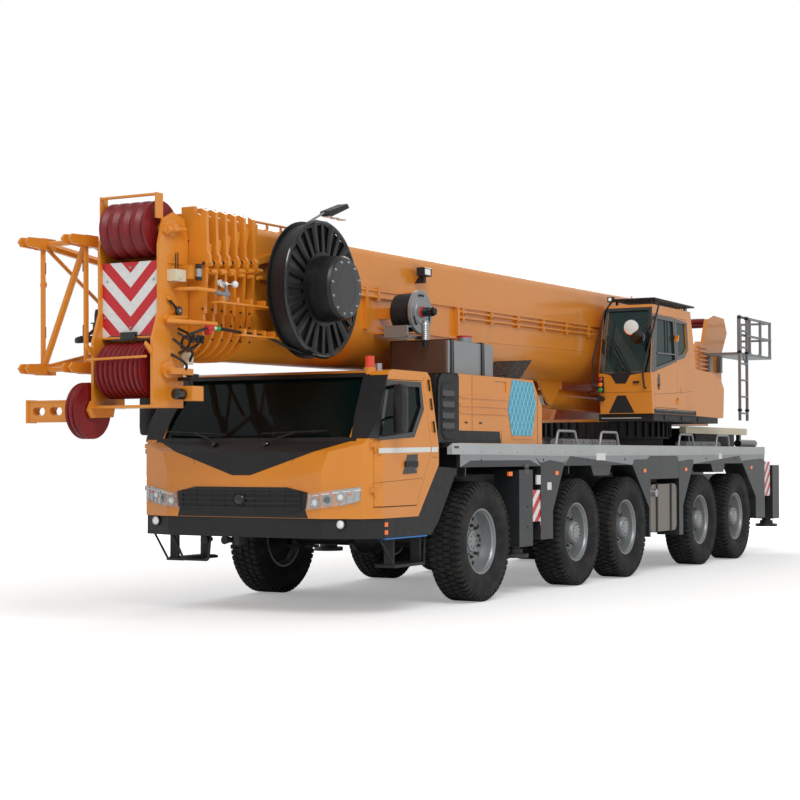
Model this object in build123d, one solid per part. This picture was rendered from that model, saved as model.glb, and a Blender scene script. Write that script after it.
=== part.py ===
from build123d import *
import os
from math import cos, radians, sin

# Five-axle all-terrain mobile crane, parked for the road with its boom down.
# Millimetres. The crane faces +X, its driver's side is +Y and the ground is Z = 0.
# Lengths along the crane are measured from the front axle, and the finished
# model is moved so that its origin lies on the ground under its middle.

# Running gear
axle_gaps = [2650, 1650, 2950, 1650]
tyre_radius = 665
tyre_width = 385
track_width = 2615
rim_radius = 360
rim_face = 1449
kingpin_y = 1000
kingpin_radius = 36
axle_beam_radius = 85
spindle_radius = 60
running_gap = 0.3
overall_width = 3000

# Chassis and deck
frame_half_width = 450
frame_bottom = 800
frame_top = 1450
frame_front = 2190
front_frame_top = 960
seat_gap = 0.3
carrier_rear = -10300
deck_front = 800
deck_top = 1750
deck_edge_bottom = 1630
skirt_bottom = 1490
skirt_depth = 340

# Outriggers
beam_width = 190
beam_height = 300
beam_bottom = 850
beam_travel = 2000
beam_grip = 230
sleeve_reach = 1150
housing_wall = 14
slide_gap = 5
jack_radius = 75
jack_drop = 600
jack_grip = 230
column_bottom = 560
column_half = 185
jack_inset = 170
pad_radius = 190
pad_bottom = 430
front_outrigger_x = -1060
rear_outrigger_x = -10900
outrigger_pitch = 216

# Driver's cab
cab_front = 2600
cab_rear = 1010
cab_bottom = 990
cab_roof = 2500
cab_half_width = 1450
cab_wall = 45
door_gap = 6
door_axis_forward = 3
door_axis_y = 1412
door_flange = 165
hinge_radius = 10
hinge_proud = 12
glass_thickness = 8
glass_gap = 0.3

# Engine hood and tanks
hood_front = 470
hood_rear = -1730
hood_top = 2510
hood_half_width = 1400
hood_wall = 40
oil_tank_top = 2880
oil_cap_height = 85

# Superstructure
slew_x = -7000
ring_radius = 1000
turntable_bottom = 2100
ring_top = turntable_bottom - seat_gap
cheek_inner = 530
cheek_thickness = 60
op_cab_front = -5330
op_cab_rear = -7200
op_cab_inner = 640
op_cab_outer = 1420
op_cab_floor = 2200
op_cab_roof = 3740
op_wall = 40
op_door_hinge_x = -6403
winch_x = -10330
winch_z = 3050

# Boom
pivot_x = -9000
pivot_z = 3150
pivot_radius = 75
boom_rake = 0.6
boom_width = 1000
boom_height = 1330
boom_axis = 202
boom_back = -300
section_count = 6
section_step = 60
section_wall = 14
collar_pitch = 155
collar_thickness = 42
collar_lip = 22
section_travel = 9300
section_grip = 3040
cylinder_foot = (-7700, 2385)
cylinder_eye = (-4700, 2425)
barrel_radius = 145
rod_radius = 95
foot_pin_radius = 60

# Boom head and reels
head_half_width = 360
head_plate = 30
head_sheave_radius = 262
aux_sheave_radius = 265
head_pin_radius = 50
aux_pin_radius = 40
aux_stem_radius = 26
head_gap = 10
upper_sheaves_at = (281, 719)
lower_sheaves_at = (347, -600)
aux_sheave_at = (491, -969)
jib_fork_ahead = 321
jib_fork_inner_y = -600
aux_hinge_out = 215
hose_reel_at = (2500, 3280)
rope_reel_at = (570, 3190)
hose_reel_radius = 690
hose_shaft_radius = 60
rope_shaft_radius = 35
jib_inner_y = -640
jib_outer_y = -1130
jib_low = -250
jib_high = 480
jib_chord_radius = 42
rope_reel_radius = 240
reel_window_count = 12

# Fittings
rim_hole_radius = 30
rim_hole_circle = 262
rim_hole_count = 10
plate_depth = 5
tube_radius = 13
collar_ear_out = 598
rack_inner_y = 612
rack_outer_y = 712
hazard_depth = 20
lamp_arm_foot = (2474, 470, 3850)
lamp_arm_tip = (1950, 600, 4140)
guard_bottom = 3800
guard_depth = 18
mirror_radius = 100

# Working values
axle_x = [-sum(axle_gaps[:count]) for count in range(len(axle_gaps) + 1)]
wheel_y = track_width / 2
boom_front = boom_back + section_travel + section_grip
head_back = boom_front + collar_pitch * section_count + head_gap
aux_sheave_x = (pivot_x + (head_back + aux_sheave_at[0]) * cos(radians(boom_rake))
                + aux_sheave_at[1] * sin(radians(boom_rake)))
nose_x = aux_sheave_x + aux_sheave_radius
tail_x = -11700
middle_x = (nose_x + tail_x) / 2
half_width = overall_width / 2


def block(x, y, z):
    """Box between a low and a high value on each axis."""
    spans = [(min(pair), max(pair)) for pair in (x, y, z)]
    size = [high - low for low, high in spans]
    centre = [(low + high) / 2 for low, high in spans]
    return Pos(*centre) * Box(*size)


def slab_side(points, y, corner=0):
    """Outline seen from the side (X, Z), as thick as the span y."""
    face = make_face(Polyline(*points, close=True))
    if corner:
        face = fillet(face.vertices(), corner)
    low, high = min(y), max(y)
    return extrude(Plane.XZ.offset(-high) * face, amount=high - low)


def slab_front(points, x, corner=0):
    """Outline seen from the front (Y, Z), as long as the span x."""
    face = make_face(Polyline(*points, close=True))
    if corner:
        face = fillet(face.vertices(), corner)
    low, high = min(x), max(x)
    return extrude(Plane.YZ.offset(low) * face, amount=high - low)


def slab_plan(points, z, corner=0):
    """Outline seen from above (X, Y), as high as the span z."""
    face = make_face(Polyline(*points, close=True))
    if corner:
        face = fillet(face.vertices(), corner)
    low, high = min(z), max(z)
    return extrude(Pos(0, 0, low) * face, amount=high - low)


def rod_across(x, z, radius, y):
    """Round bar along Y."""
    low, high = min(y), max(y)
    return Pos(x, (low + high) / 2, z) * Rot(90, 0, 0) * Cylinder(radius, high - low)


def rod_up(x, y, radius, z):
    """Round bar along Z."""
    low, high = min(z), max(z)
    return Pos(x, y, (low + high) / 2) * Cylinder(radius, high - low)


def strut(start, end, radius, sides=6):
    """Straight bar of a regular section between two points."""
    path = Vector(*end) - Vector(*start)
    side_way = (0, 1, 0) if abs(path.normalized().Y) < 0.9 else (0, 0, 1)
    plane = Plane(origin=start, x_dir=side_way, z_dir=path.normalized())
    return extrude(plane * RegularPolygon(radius, sides), amount=path.length)


def mirrored(shape):
    """The same piece on the other side of the crane."""
    return mirror(shape, Plane.XZ)


def both_sides(shape):
    """A piece and its twin across the middle."""
    return shape + mirrored(shape)


# Wheels, knuckles and axles

def wheel(driven=True):
    """Left wheel about its own centre: a tyre, and a dished rim with its hub."""
    half = tyre_width / 2
    tyre_points = [
        (rim_radius + running_gap, -half * 0.72),
        (tyre_radius * 0.80, -half),
        (tyre_radius * 0.95, -half * 0.93),
        (tyre_radius, -half * 0.72),
        (tyre_radius, half * 0.72),
        (tyre_radius * 0.95, half * 0.93),
        (tyre_radius * 0.80, half),
        (rim_radius + running_gap, half * 0.72),
    ]
    tyre = revolve(make_face(Polyline(*tyre_points, close=True)), Axis.Y)
    face = rim_face - wheel_y
    hub_out = face - 5 if driven else face - 100
    hub_radius = 140 if driven else 115
    dish = face - 150
    rim_points = [
        (spindle_radius + running_gap, dish - 60),
        (rim_radius - 45, dish - 60),
        (rim_radius - 35, -half * 0.70),
        (rim_radius, -half * 0.70),
        (rim_radius, face),
        (rim_radius - 22, face),
        (rim_radius - 40, dish + 10),
        (hub_radius + 60, dish),
        (hub_radius, dish + 12),
        (hub_radius * 0.92, hub_out),
        (0, hub_out),
        (0, dish + 10),
        (spindle_radius + running_gap, dish + 10),
    ]
    rim = revolve(make_face(Polyline(*rim_points, close=True)), Axis.Y)
    hole = Pos(rim_hole_circle, dish - 30, 0) * Rot(90, 0, 0) * Cylinder(rim_hole_radius, 120)
    for step in range(rim_hole_count):
        rim -= Rot(0, 360 / rim_hole_count * step, 0) * hole
    return Compound(children=[tyre, rim])


def knuckle(x):
    """Left steering knuckle: yoke round the axle eye, kingpin and wheel spindle."""
    z = tyre_radius
    arm_low = kingpin_y - 65
    arm_out = kingpin_y + 85
    yoke = slab_front(
        [(arm_low, z + 92), (arm_out, z + 92), (arm_out, z - 92), (arm_low, z - 92),
         (arm_low, z - 132), (arm_out + 45, z - 132), (arm_out + 45, z + 132), (arm_low, z + 132)],
        (x - 70, x + 70))
    kingpin = rod_up(x, kingpin_y, kingpin_radius, (z - 140, z + 140))
    spindle = rod_across(x, z, spindle_radius, (arm_out, rim_face - 145))
    steering_arm = slab_plan(
        [(x - 40, arm_low + 30), (x - 260, arm_low - 40), (x - 260, arm_low - 100),
         (x - 40, arm_low - 40)], (z - 132, z - 102))
    return yoke + kingpin + spindle + steering_arm


def axle_beam(steered):
    """Axle tube with a drive casing, and at each end a kingpin eye or a fixed spindle."""
    x, z = 0, tyre_radius
    tube_end = kingpin_y - 40 if steered else rim_face - 150
    if steered:
        beam = rod_across(x, z, axle_beam_radius, (-tube_end, tube_end))
        beam += both_sides(rod_up(x, kingpin_y, 75, (z - 88, z + 88)))
        beam -= both_sides(rod_up(x, kingpin_y, kingpin_radius + running_gap, (z - 90, z + 90)))
    else:
        beam = rod_across(x, z, spindle_radius, (-tube_end, tube_end))
        beam += rod_across(x, z, axle_beam_radius, (-kingpin_y - 60, kingpin_y + 60))
    profile = make_face(Polyline((0, -230), (95, -210), (180, -90), (180, 90), (95, 210), (0, 230), close=True))
    casing = Pos(x, 0, z) * revolve(profile, Axis.Y)
    return beam + casing


def suspension():
    """Left suspension strut from the axle beam up to its bracket on the frame."""
    x, z = 0, tyre_radius
    lean = strut((x, 575, z + 60), (x, 525, frame_top - 130), 48, 8)
    rod = strut((x, 585, z), (x, 575, z + 80), 34, 8)
    bracket = block((x - 70, x + 70), (frame_half_width + seat_gap, 560), (frame_top - 210, frame_top - 60))
    return lean + rod + bracket


def drive_train():
    """Five axles with their struts, the engine as a plain block, and the gearbox."""
    struts = both_sides(suspension())
    steered = axle_beam(True) + struts
    fixed = axle_beam(False) + struts
    axles = [Pos(x, 0, 0) * (fixed if index == 2 else steered) for index, x in enumerate(axle_x)]
    engine = block((-1350, 150), (-440, 440), (frame_top + seat_gap, frame_top + 830))
    gearbox = block((-2100, -1340), (-250, 250), (frame_top + seat_gap, deck_top - 60))
    return Compound(children=axles + [engine + gearbox])


# Chassis

def outrigger_housing(x_left, x_right):
    """Two crosswise sleeves, one behind the other, for the left and right beams."""
    low = min(x_left, x_right) - beam_width / 2 - slide_gap - housing_wall
    high = max(x_left, x_right) + beam_width / 2 + slide_gap + housing_wall
    reach = sleeve_reach
    z_low = beam_bottom - slide_gap - housing_wall
    z_high = beam_bottom + beam_height + slide_gap + housing_wall
    return block((low, high), (-reach, reach), (z_low, z_high))


def sleeve_bore(x):
    """Room for one outrigger beam inside its sleeve, open at both ends."""
    half = beam_width / 2 + slide_gap
    z_span = (beam_bottom - slide_gap, beam_bottom + beam_height + slide_gap)
    return block((x - half, x + half), (-1400, 1400), z_span)


def outrigger_places():
    """Centre line of each beam: name, X and side."""
    return [
        ("front_left", front_outrigger_x, 1),
        ("front_right", front_outrigger_x - outrigger_pitch, -1),
        ("rear_left", rear_outrigger_x, 1),
        ("rear_right", rear_outrigger_x + outrigger_pitch, -1),
    ]


def carrier_frame():
    """Box frame of the chassis with both outrigger housings and the slewing ring seat."""
    rail = frame_half_width
    body = slab_side(
        [(620, frame_top), (960, front_frame_top), (frame_front, front_frame_top), (frame_front, frame_bottom),
         (carrier_rear + 150, frame_bottom), (carrier_rear, frame_bottom + 90), (carrier_rear, frame_top)],
        (-rail, rail))
    tunnel = block((420, carrier_rear + 260), (-rail + 60, rail - 60), (frame_bottom - 10, frame_top - 60))
    body -= tunnel
    for x in axle_x:
        body -= rod_across(x, tyre_radius, 260, (-rail - 10, rail + 10))
    body += outrigger_housing(front_outrigger_x, front_outrigger_x - outrigger_pitch)
    rear_arm = block((rear_outrigger_x, carrier_rear + 200), (-rail, rail), (frame_bottom + 90, frame_top - 150))
    body += rear_arm
    body += outrigger_housing(rear_outrigger_x, rear_outrigger_x + outrigger_pitch)
    housing_rear = rear_outrigger_x - beam_width / 2 - slide_gap - housing_wall
    body += both_sides(block((housing_rear + 5, housing_rear - 46), (sleeve_reach - 330, sleeve_reach - 10),
                             (beam_bottom + 20, beam_bottom + 130)))
    for name, x, side in outrigger_places():
        body -= sleeve_bore(x)
        for y in (-700 * side, 1090 * side):
            body += block((x - 60, x + 60), (y - 60, y + 60), (beam_bottom - slide_gap - 1, beam_bottom - seat_gap))
    for x in (1300, 2000):
        for y in (-380, 380):
            body += rod_up(x, y, 45, (front_frame_top - 5, cab_bottom - seat_gap))
    seat = Pos(slew_x, 0, (frame_top + deck_top + 120) / 2) * Cylinder(ring_radius - 90, deck_top + 120 - frame_top)
    body += seat
    return body + slewing_ring()


def slewing_ring():
    """Toothed ring under the turntable."""
    low, high = deck_top + 110, ring_top
    ring = Pos(slew_x, 0, (low + high) / 2) * Cylinder(ring_radius, high - low)
    count = 48
    tooth = block((-18, 40), (-22, 22), (low + 30, high))
    teeth = [Pos(slew_x, 0, 0) * Rot(0, 0, 360 / count * step) * Pos(ring_radius, 0, 0) * tooth
             for step in range(count)]
    for piece in teeth:
        ring += piece
    return ring


def skirt_post(top_front, low_front, low_rear, top_rear, bottom, knee):
    """Storage box between two wheels, with the slanted edges of the wheel arches."""
    outline = [
        (top_front, skirt_bottom + 40), (top_front, skirt_bottom), (low_front, knee),
        (low_front, bottom), (low_rear, bottom), (low_rear, knee), (top_rear, skirt_bottom),
        (top_rear, skirt_bottom + 40),
    ]
    points = [point for index, point in enumerate(outline) if point not in outline[:index]]
    return slab_side(points, (half_width - skirt_depth, half_width))


def carrier_deck():
    """Deck plate with its light edge, the side skirts and boxes, and the hoop grips."""
    deck = block((deck_front, carrier_rear), (-half_width, half_width), (deck_top - 45, deck_top))
    edge = block((deck_front, carrier_rear), (half_width - 60, half_width), (deck_edge_bottom, deck_top))
    deck += both_sides(edge)
    opening = Pos(slew_x, 0, deck_top) * Cylinder(ring_radius - 70, 400)
    deck -= opening
    bay = block((hood_front - 200, hood_rear + 200), (-700, 700), (deck_top - 60, deck_top + 20))
    deck -= bay
    strip = block((610, carrier_rear + 20), (half_width - 50, half_width - 2), (skirt_bottom, deck_edge_bottom))
    side = strip
    side += skirt_post(-1475, -1475, -1820, -2150, 620, 950)
    side += hanging_panel(-3046, -3764)
    side += slab_side([(-4400, skirt_bottom + 20), (-5040, 900), (-5040, 500), (-5090, 500),
                       (-5090, skirt_bottom + 20)], (half_width - skirt_depth, half_width - 2))
    side += block((-5090, -6230), (half_width - 50, half_width - 2), (1290, skirt_bottom + 20))
    side += skirt_post(-6220, -6220, -6380, -6830, 480, 900)
    side += hanging_panel(-7685, -8357)
    side += skirt_post(-9130, -9800, -10280, -10280, 600, 950)
    rib_places = [400, -1490, -2400, -3300, -4700, -5650, -6050, -7950, -9400, -10200]
    for x in rib_places:
        side += block((x - 12, x + 12), (frame_half_width + seat_gap, half_width - 45), (frame_top - 60, deck_top - 40))
    for front, rear in ((480, -1300), (-1613, -2348), (-4364, -5072), (-6146, -6889), (-8970, -10215)):
        side += cover_strip(front, rear)
    deck += both_sides(side)
    deck += hazard_board(-1262, -1480, 840, 1210)
    deck += hazard_board(-10270, -10600, 950, 1510)
    deck += mirrored(hazard_board(-10270, -10480, 950, 1510))
    for x in (-2510, -3900, -6860, -8520):
        deck += both_sides(hoop_grip(x))
    deck += block((-7300, -10240), (1120, 1220), (1946, 2050))
    for x in (-7500, -9950):
        deck += block((x - 40, x + 40), (1140, 1200), (deck_top - 5, 1950))
    deck += Pos(-9830, 1330, deck_top + 55) * Rot(0, 90, 0) * Cylinder(60, 830)
    plate = block((-8350, -10250), (-1000, 1000), (deck_top - 5, deck_top + 290))
    return deck + plate


def hanging_panel(front, rear):
    """Short flared panel that hangs between two wheels."""
    top = skirt_bottom + 20
    return slab_side([(front, top), (front - 110, top - 150), (rear + 90, top - 150), (rear, top)],
                     (half_width - skirt_depth, half_width - 30))


def cover_strip(front, rear):
    """Pale bevelled strip along the top of a storage box."""
    high = deck_edge_bottom - 20
    return slab_side([(front, high), (front - 120, high - 48), (rear + 120, high - 48), (rear, high)],
                     (half_width - 4, half_width))


def hazard_board(front, rear, low, high):
    """Upright striped board on the flank."""
    return block((front, rear), (half_width - 10 - hazard_depth, half_width - 10), (low, high))


def hoop_grip(x):
    """Round hand hoop standing on the deck edge."""
    path = FilletPolyline((x - 330, 1380, deck_top - 10), (x - 260, 1380, deck_top + 170),
                          (x + 260, 1380, deck_top + 170), (x + 330, 1380, deck_top - 10), radius=60)
    section = Plane(origin=path @ 0, z_dir=path % 0) * Circle(16)
    return sweep(section, path=path)


# Outriggers

def outrigger_beam(x, side):
    """Box beam that slides out sideways, with the jack's upright tube at its outer end."""
    y_in = sleeve_reach - beam_grip - beam_travel
    y_jack = half_width - jack_inset
    rod_top = jack_rod_top()
    z_low, z_high = beam_bottom, beam_bottom + beam_height
    beam = block((x - beam_width / 2, x + beam_width / 2), (y_in, y_jack - 120), (z_low, z_high))
    beam -= block((x - beam_width / 2 + 12, x + beam_width / 2 - 12), (y_in - 10, y_jack - 240),
                  (z_low + 12, z_high - 12))
    column = block((x - column_half, x + column_half), (y_jack - 149, half_width), (column_bottom, rod_top + 60))
    beam += column
    beam -= rod_up(x, y_jack, jack_radius + running_gap, (column_bottom - 60, rod_top + 30))
    return beam if side > 0 else mirrored(beam)


def jack_rod_top():
    """Top of the jack's rod, which keeps its grip in the column at full drop."""
    return column_bottom + jack_drop + jack_grip


def outrigger_jack(x, side):
    """Jack rod with its round foot pad."""
    y = half_width - jack_inset
    rod = rod_up(x, y, jack_radius, (pad_bottom + 60, jack_rod_top()))
    pad = rod_up(x, y, pad_radius - 10, (pad_bottom, pad_bottom + 45))
    collar = rod_up(x, y, 110, (pad_bottom + 40, pad_bottom + 100))
    jack = rod + pad + collar
    return jack if side > 0 else mirrored(jack)


# Driver's cab

def cab_side_outline(inset=0):
    """Cab seen from the side, drawn in from its skin by the inset."""
    front, rear = cab_front - inset, cab_rear + inset
    low, high = cab_bottom + inset, cab_roof - inset
    return [
        (front - 30, low), (front, low + 280), (front - 60, 1660), (front - 230, 1760),
        (2200 - inset, high - 440), (1900 - inset, high - 20), (1800, high), (rear + 60, high),
        (rear, high - 60), (rear, 1520), (1463 + inset * 0.5, low),
    ]


def cab_plan_outline(inset=0):
    """Cab seen from above."""
    wide = cab_half_width - inset
    front = cab_front - inset
    half = [(cab_rear - 50, wide), (2200, wide), (front - 180, wide - 120), (front - 30, wide - 500)]
    return half + [(front, 0)] + [(x, -y) for x, y in reversed(half)]


def cab_front_outline(inset=0):
    """Cab seen from the front: upright flanks and a roof that leans in."""
    wide = cab_half_width - inset
    low, high = cab_bottom - 60, cab_roof + 60
    half = [(wide, low), (wide, 1720), (wide - 115, high)]
    return half + [(-y, z) for y, z in reversed(half)]


def cab_form(inset=0):
    """Solid of the whole cab, drawn in from its skin by the inset."""
    side = slab_side(cab_side_outline(inset), (-cab_half_width - 50, cab_half_width + 50))
    plan = slab_plan(cab_plan_outline(inset), (cab_bottom - 100, cab_roof + 100))
    front = slab_front(cab_front_outline(inset), (cab_rear - 100, cab_front + 100))
    return side & plan & front


door_hinge_x = 2290
door_outline = [(door_hinge_x, 1110), (door_hinge_x, 1750), (1960, 2390), (1200, 2400), (1180, 1660), (1500, 1110)]
window_outline = [(2215, 1800), (1935, 2325), (1290, 2335), (1310, 2120), (1560, 1860)]


def grown(points, step):
    """The same outline, moved outward by the step."""
    face = make_face(Polyline(*points, close=True))
    return offset(face, amount=step, kind=Kind.INTERSECTION)


def side_prism(points, step, y):
    """Prism through the cab's flank from an outline grown by the step."""
    low, high = min(y), max(y)
    return extrude(Plane.XZ.offset(-high) * grown(points, step), amount=high - low)


def driver_cab():
    """Hollow cab with a windscreen opening, door openings and a rear window."""
    shell = cab_form() - cab_form(cab_wall)
    for side in (1, -1):
        span = (side * (cab_half_width - door_flange - 5), side * (cab_half_width + 60))
        shell -= side_prism(door_outline, door_gap, span)
    shell += both_sides(hinge_half(door_hinge_x + door_axis_forward, door_axis_y, 1, 1250))
    shell += both_sides(hinge_half(door_hinge_x + door_axis_forward, door_axis_y, 1, 1700))
    shell -= windscreen_cut(0)
    shell -= block((cab_rear - 10, cab_rear + cab_wall + 10), (-700, 700), (2080, 2380))
    return shell + roof_beacon()


def roof_beacon():
    """Beacon on its foot, and a small round lamp behind it, on the left of the roof."""
    foot = rod_up(1860, 1100, 62, (cab_roof - 45, cab_roof + 22))
    beacon = rod_up(1860, 1100, 48, (cab_roof + 15, cab_roof + 140))
    lamp = rod_up(1720, 1120, 40, (cab_roof - 10, cab_roof + 70))
    return foot + beacon + lamp


def hinge_half(x, y, way, low):
    """Barrel of a door hinge with its leaf, which points forward or back along X."""
    barrel = rod_up(x, y, hinge_radius, (low, low + 45))
    leaf = block((x, x + way * 50), (y - 44, y), (low, low + 45))
    return barrel + leaf


def windscreen_cut(step):
    """Room for the windscreen, through the front wall only."""
    low = 1800 - step
    high = cab_roof - 75 + step
    outline = [(2500, low), (2350, high), (1750, high), (2150, low)]
    prism = slab_side(outline, (-1150 - step, 1150 + step))
    taper = slab_front([(1190 + step, low - 20), (1075 + step, high + 20), (-1075 - step, high + 20),
                        (-1190 - step, low - 20)], (1500, 2700))
    return prism & taper


def cab_glass():
    """Windscreen and rear window, set in the middle of the wall, and the headlamp lenses."""
    skin = cab_form(cab_wall / 2) - cab_form(cab_wall / 2 + glass_thickness)
    screen = skin & windscreen_cut(-glass_gap)
    middle = cab_rear + cab_wall / 2
    rear = block((middle - 4, middle + 4), (-700 + glass_gap, 700 - glass_gap), (2080 + glass_gap, 2380 - glass_gap))
    lens_form = cab_form(-18) - cab_form(-seat_gap)
    lens = slab_front([(790, 1075), (815, 1235), (1330, 1310), (1325, 1170), (1150, 1120)], (2300, 2700))
    lens = lens_form & lens
    return Compound(children=solids_of([screen, rear, lens, mirrored(lens)]))


def solids_of(shapes):
    """All solids of some shapes, as a flat list."""
    return [solid for shape in shapes for solid in shape.solids()]


def driver_door(side):
    """Door as thick as the wall, with its pane, mirror and handle."""
    span = (cab_half_width - door_flange, cab_half_width + 60)
    wall = cab_form() - cab_form(cab_wall)
    panel = wall & side_prism(door_outline, 0, span)
    panel -= side_prism(window_outline, 0, span)
    skin = cab_form(cab_wall / 2) - cab_form(cab_wall / 2 + glass_thickness)
    pane = skin & side_prism(window_outline, -glass_gap, span)
    handle = block((1500, 1760), (cab_half_width - 10, cab_half_width + 22), (1500, 1560))
    arm = strut((1925, 1362, 2310), (2060, 1565, 2325), 22, 8)
    post = rod_up(2060, 1565, 16, (1850, 2340))
    glass = slab_plan([(2035, 1530), (2100, 1510), (2130, 1640), (2045, 1655)], (1850, 2290), 15)
    door = panel + handle + arm + post + glass
    for low in (1250, 1700):
        door += hinge_half(door_hinge_x + door_axis_forward, door_axis_y, -1, low - 45 - seat_gap)
    parts = Compound(children=solids_of([door, pane]))
    return parts if side > 0 else mirrored(parts)


def cab_interior():
    """Two seats, the dashboard and the steering wheel on its column."""
    low = cab_bottom + cab_wall
    seats = []
    for y in (760, -760):
        cushion = block((1290, 1780), (y - 240, y + 240), (low + 260, low + 400))
        back = slab_side([(1160, low + 380), (1290, low + 380), (1230, low + 1020), (1110, low + 1020)],
                         (y - 230, y + 230))
        stand = block((1510, 1700), (y - 150, y + 150), (low, low + 270))
        seats.append(cushion + back + stand)
    dash = slab_side([(2080, 1360), (2330, 1360), (2300, 1700), (2180, 1735), (2060, 1640)], (-1180, 1180))
    dash += block((2120, 2260), (-200, 200), (low, 1370))
    column = strut((2120, 760, 1480), (1950, 760, 1660), 30, 8)
    rim = Pos(1955, 760, 1655) * Rot(0, -48, 0) * Torus(205, 16)
    spoke = Pos(1955, 760, 1655) * Rot(0, -48, 0) * Box(40, 400, 20)
    return Compound(children=seats + [dash + column + rim + spoke])


def cab_trim():
    """Dark grille, bumper, steps and fenders round the cab."""
    grille = cab_form(-12) - cab_form(-seat_gap)
    grille &= slab_front([(-780, 1090), (-800, 1250), (-560, 1300), (560, 1300), (800, 1250), (780, 1090),
                          (560, 1040), (-560, 1040)], (2300, 2700))
    bars = []
    for z in (1090, 1140, 1190, 1240):
        bar = (cab_form(-26) - cab_form(-8)) & block((2300, 2700), (-740, 740), (z - 9, z + 9))
        bars.append(bar)
    for bar in bars:
        grille += bar
    bumper = slab_plan([(1160, 1440), (2150, 1440), (2400, 1330), (2540, 950), (2570, 0),
                        (2540, -950), (2400, -1330), (2150, -1440), (1160, -1440)], (790, cab_bottom - seat_gap))
    bumper -= slab_plan([(1100, 1250), (2300, 1150), (2400, 0), (2300, -1150), (1100, -1250)], (700, cab_bottom))
    bumper += block((frame_front + seat_gap, 2380), (-1180, 1180), (900, cab_bottom - seat_gap))
    step = block((1290, 1930), (1200, 1430), (480, 510))
    step += both_hangers()
    bumper += both_sides(step)
    fender = slab_side([(556, 1480), (1009, 913), (1160, 790), (1160, 985), (1440, 985), (1000, 1500)],
                       (1100, 1440))
    bumper += both_sides(fender)
    bumper += both_sides(block((580, 640), (frame_half_width + seat_gap, 1440), (1400, 1440)))
    bumper += front_fittings()
    return Compound(children=solids_of([grille, brow_band(), bumper]))


def brow_band():
    """Black band under the windscreen that drops to a blunt point in the middle."""
    band = cab_form(-plate_depth) - cab_form(-seat_gap)
    drop = [(-1215, 1790), (1215, 1790), (1180, 1765), (110, 1420), (-110, 1420), (-1180, 1765)]
    return band & slab_front(drop, (2250, 2700))


def front_fittings():
    """Fog lamps, two horns, the front step hoop and the towing jaw."""
    fittings = both_sides(Pos(2470, 1139, 935) * Rot(0, 90, 0) * Cylinder(45, 70))
    for y in (-524, -266):
        fittings += Pos(2430, y, 749) * Rot(0, 90, 0) * Cone(24, 44, 130)
    path = FilletPolyline((2450, -960, 800), (2450, -815, 535), (2450, -500, 535), (2450, -470, 800), radius=30)
    fittings += sweep(Plane(origin=path @ 0, z_dir=path % 0) * Circle(tube_radius), path=path)
    jaw = block((2470, 2580), (-85, -25), (705, 800))
    jaw -= rod_up(2545, -55, 18, (690, 810))
    return fittings + jaw


def both_hangers():
    """Two straps that carry the lower step."""
    low, high = 500, 800
    front = block((1880, 1905), (1290, 1400), (low, high))
    rear = block((1320, 1345), (1290, 1400), (low, high))
    return front + rear


# Engine hood and tanks

def engine_hood():
    """Hood over the engine, open below, with swages and the air intake grille."""
    outer = slab_side([(hood_front, deck_top), (hood_front, hood_top), (hood_rear + 260, hood_top),
                       (hood_rear, hood_top - 300), (hood_rear, deck_top)], (-hood_half_width, hood_half_width))
    inner = slab_side([(hood_front - hood_wall, deck_top - 10), (hood_front - hood_wall, hood_top - hood_wall),
                       (hood_rear + 275, hood_top - hood_wall), (hood_rear + hood_wall, hood_top - 310),
                       (hood_rear + hood_wall, deck_top - 10)],
                      (-hood_half_width + hood_wall, hood_half_width - hood_wall))
    hood = outer - inner
    for z in (2090, 2170, 2260):
        swage = block((hood_front - 40, -760), (hood_half_width - 5, hood_half_width + 12), (z - 10, z + 10))
        hood += both_sides(swage)
    hood -= both_sides(block((-420, -750), (hood_half_width - 12, hood_half_width + 20), (2340, 2465)))
    hood += exhaust_outlet()
    intake = block((hood_front + 20, 960), (-hood_half_width + 10, hood_half_width - 10), (deck_top, 2480))
    intake -= block((hood_front + 10, 910), (-hood_half_width + 60, hood_half_width - 60), (deck_top - 10, 2430))
    intake += block((hood_front - 5, hood_front + 30), (-hood_half_width + 20, hood_half_width - 20), (2300, 2480))
    for step in range(9):
        z = 1850 + 66 * step
        slat = block((hood_front + 60, 930), (hood_half_width - 15, hood_half_width + 6), (z - 14, z + 14))
        intake += both_sides(slat)
    return hood + intake


def exhaust_outlet():
    """Leaning exhaust box on the hood, open at its top."""
    low = hood_top
    box = slab_side([(-1230, low - 5), (-1300, low + 70), (-1550, low + 245), (-2000, low + 275),
                     (-1680, low + 50), (-1465, low - 5)], (850, 1150))
    mouth = slab_side([(-1420, low + 110), (-1565, low + 235), (-2020, low + 290), (-1980, low + 255),
                       (-1670, low + 62)], (865, 1135))
    return box - mouth


def carrier_tanks():
    """Fuel tank between the axles, and the strapped oil tank on the hood."""
    fuel = slab_side([(-5105, 560), (-5105, 1215), (-6135, 1215), (-6135, 560)], (1010, 1490), 90)
    for x in (-5350, -5900):
        strap = slab_side([(x - 25, 548), (x - 25, 1227), (x + 25, 1227), (x + 25, 548)], (1000, 1500))
        fuel += strap
    fuel += block((-5400, -5850), (frame_half_width + seat_gap, 1020), (1000, 1100))
    fuel += rod_across(-5240, 1100, 55, (1480, 1530))
    oil = block((-630, 510), (560, 1300), (hood_top + 12, oil_tank_top))
    oil = fillet(oil.edges().filter_by(Axis.Z), 40)
    for x in (-320, 430):
        oil += block((x - 25, x + 25), (548, 1312), (hood_top + 0.5, oil_tank_top + 12))
    oil += rod_up(-180, 1150, 85, (oil_tank_top - 10, oil_tank_top + oil_cap_height))
    oil += rod_up(-180, 1150, 100, (oil_tank_top - 10, oil_tank_top + 18))
    return Compound(children=[fuel, oil])


# Superstructure

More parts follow.
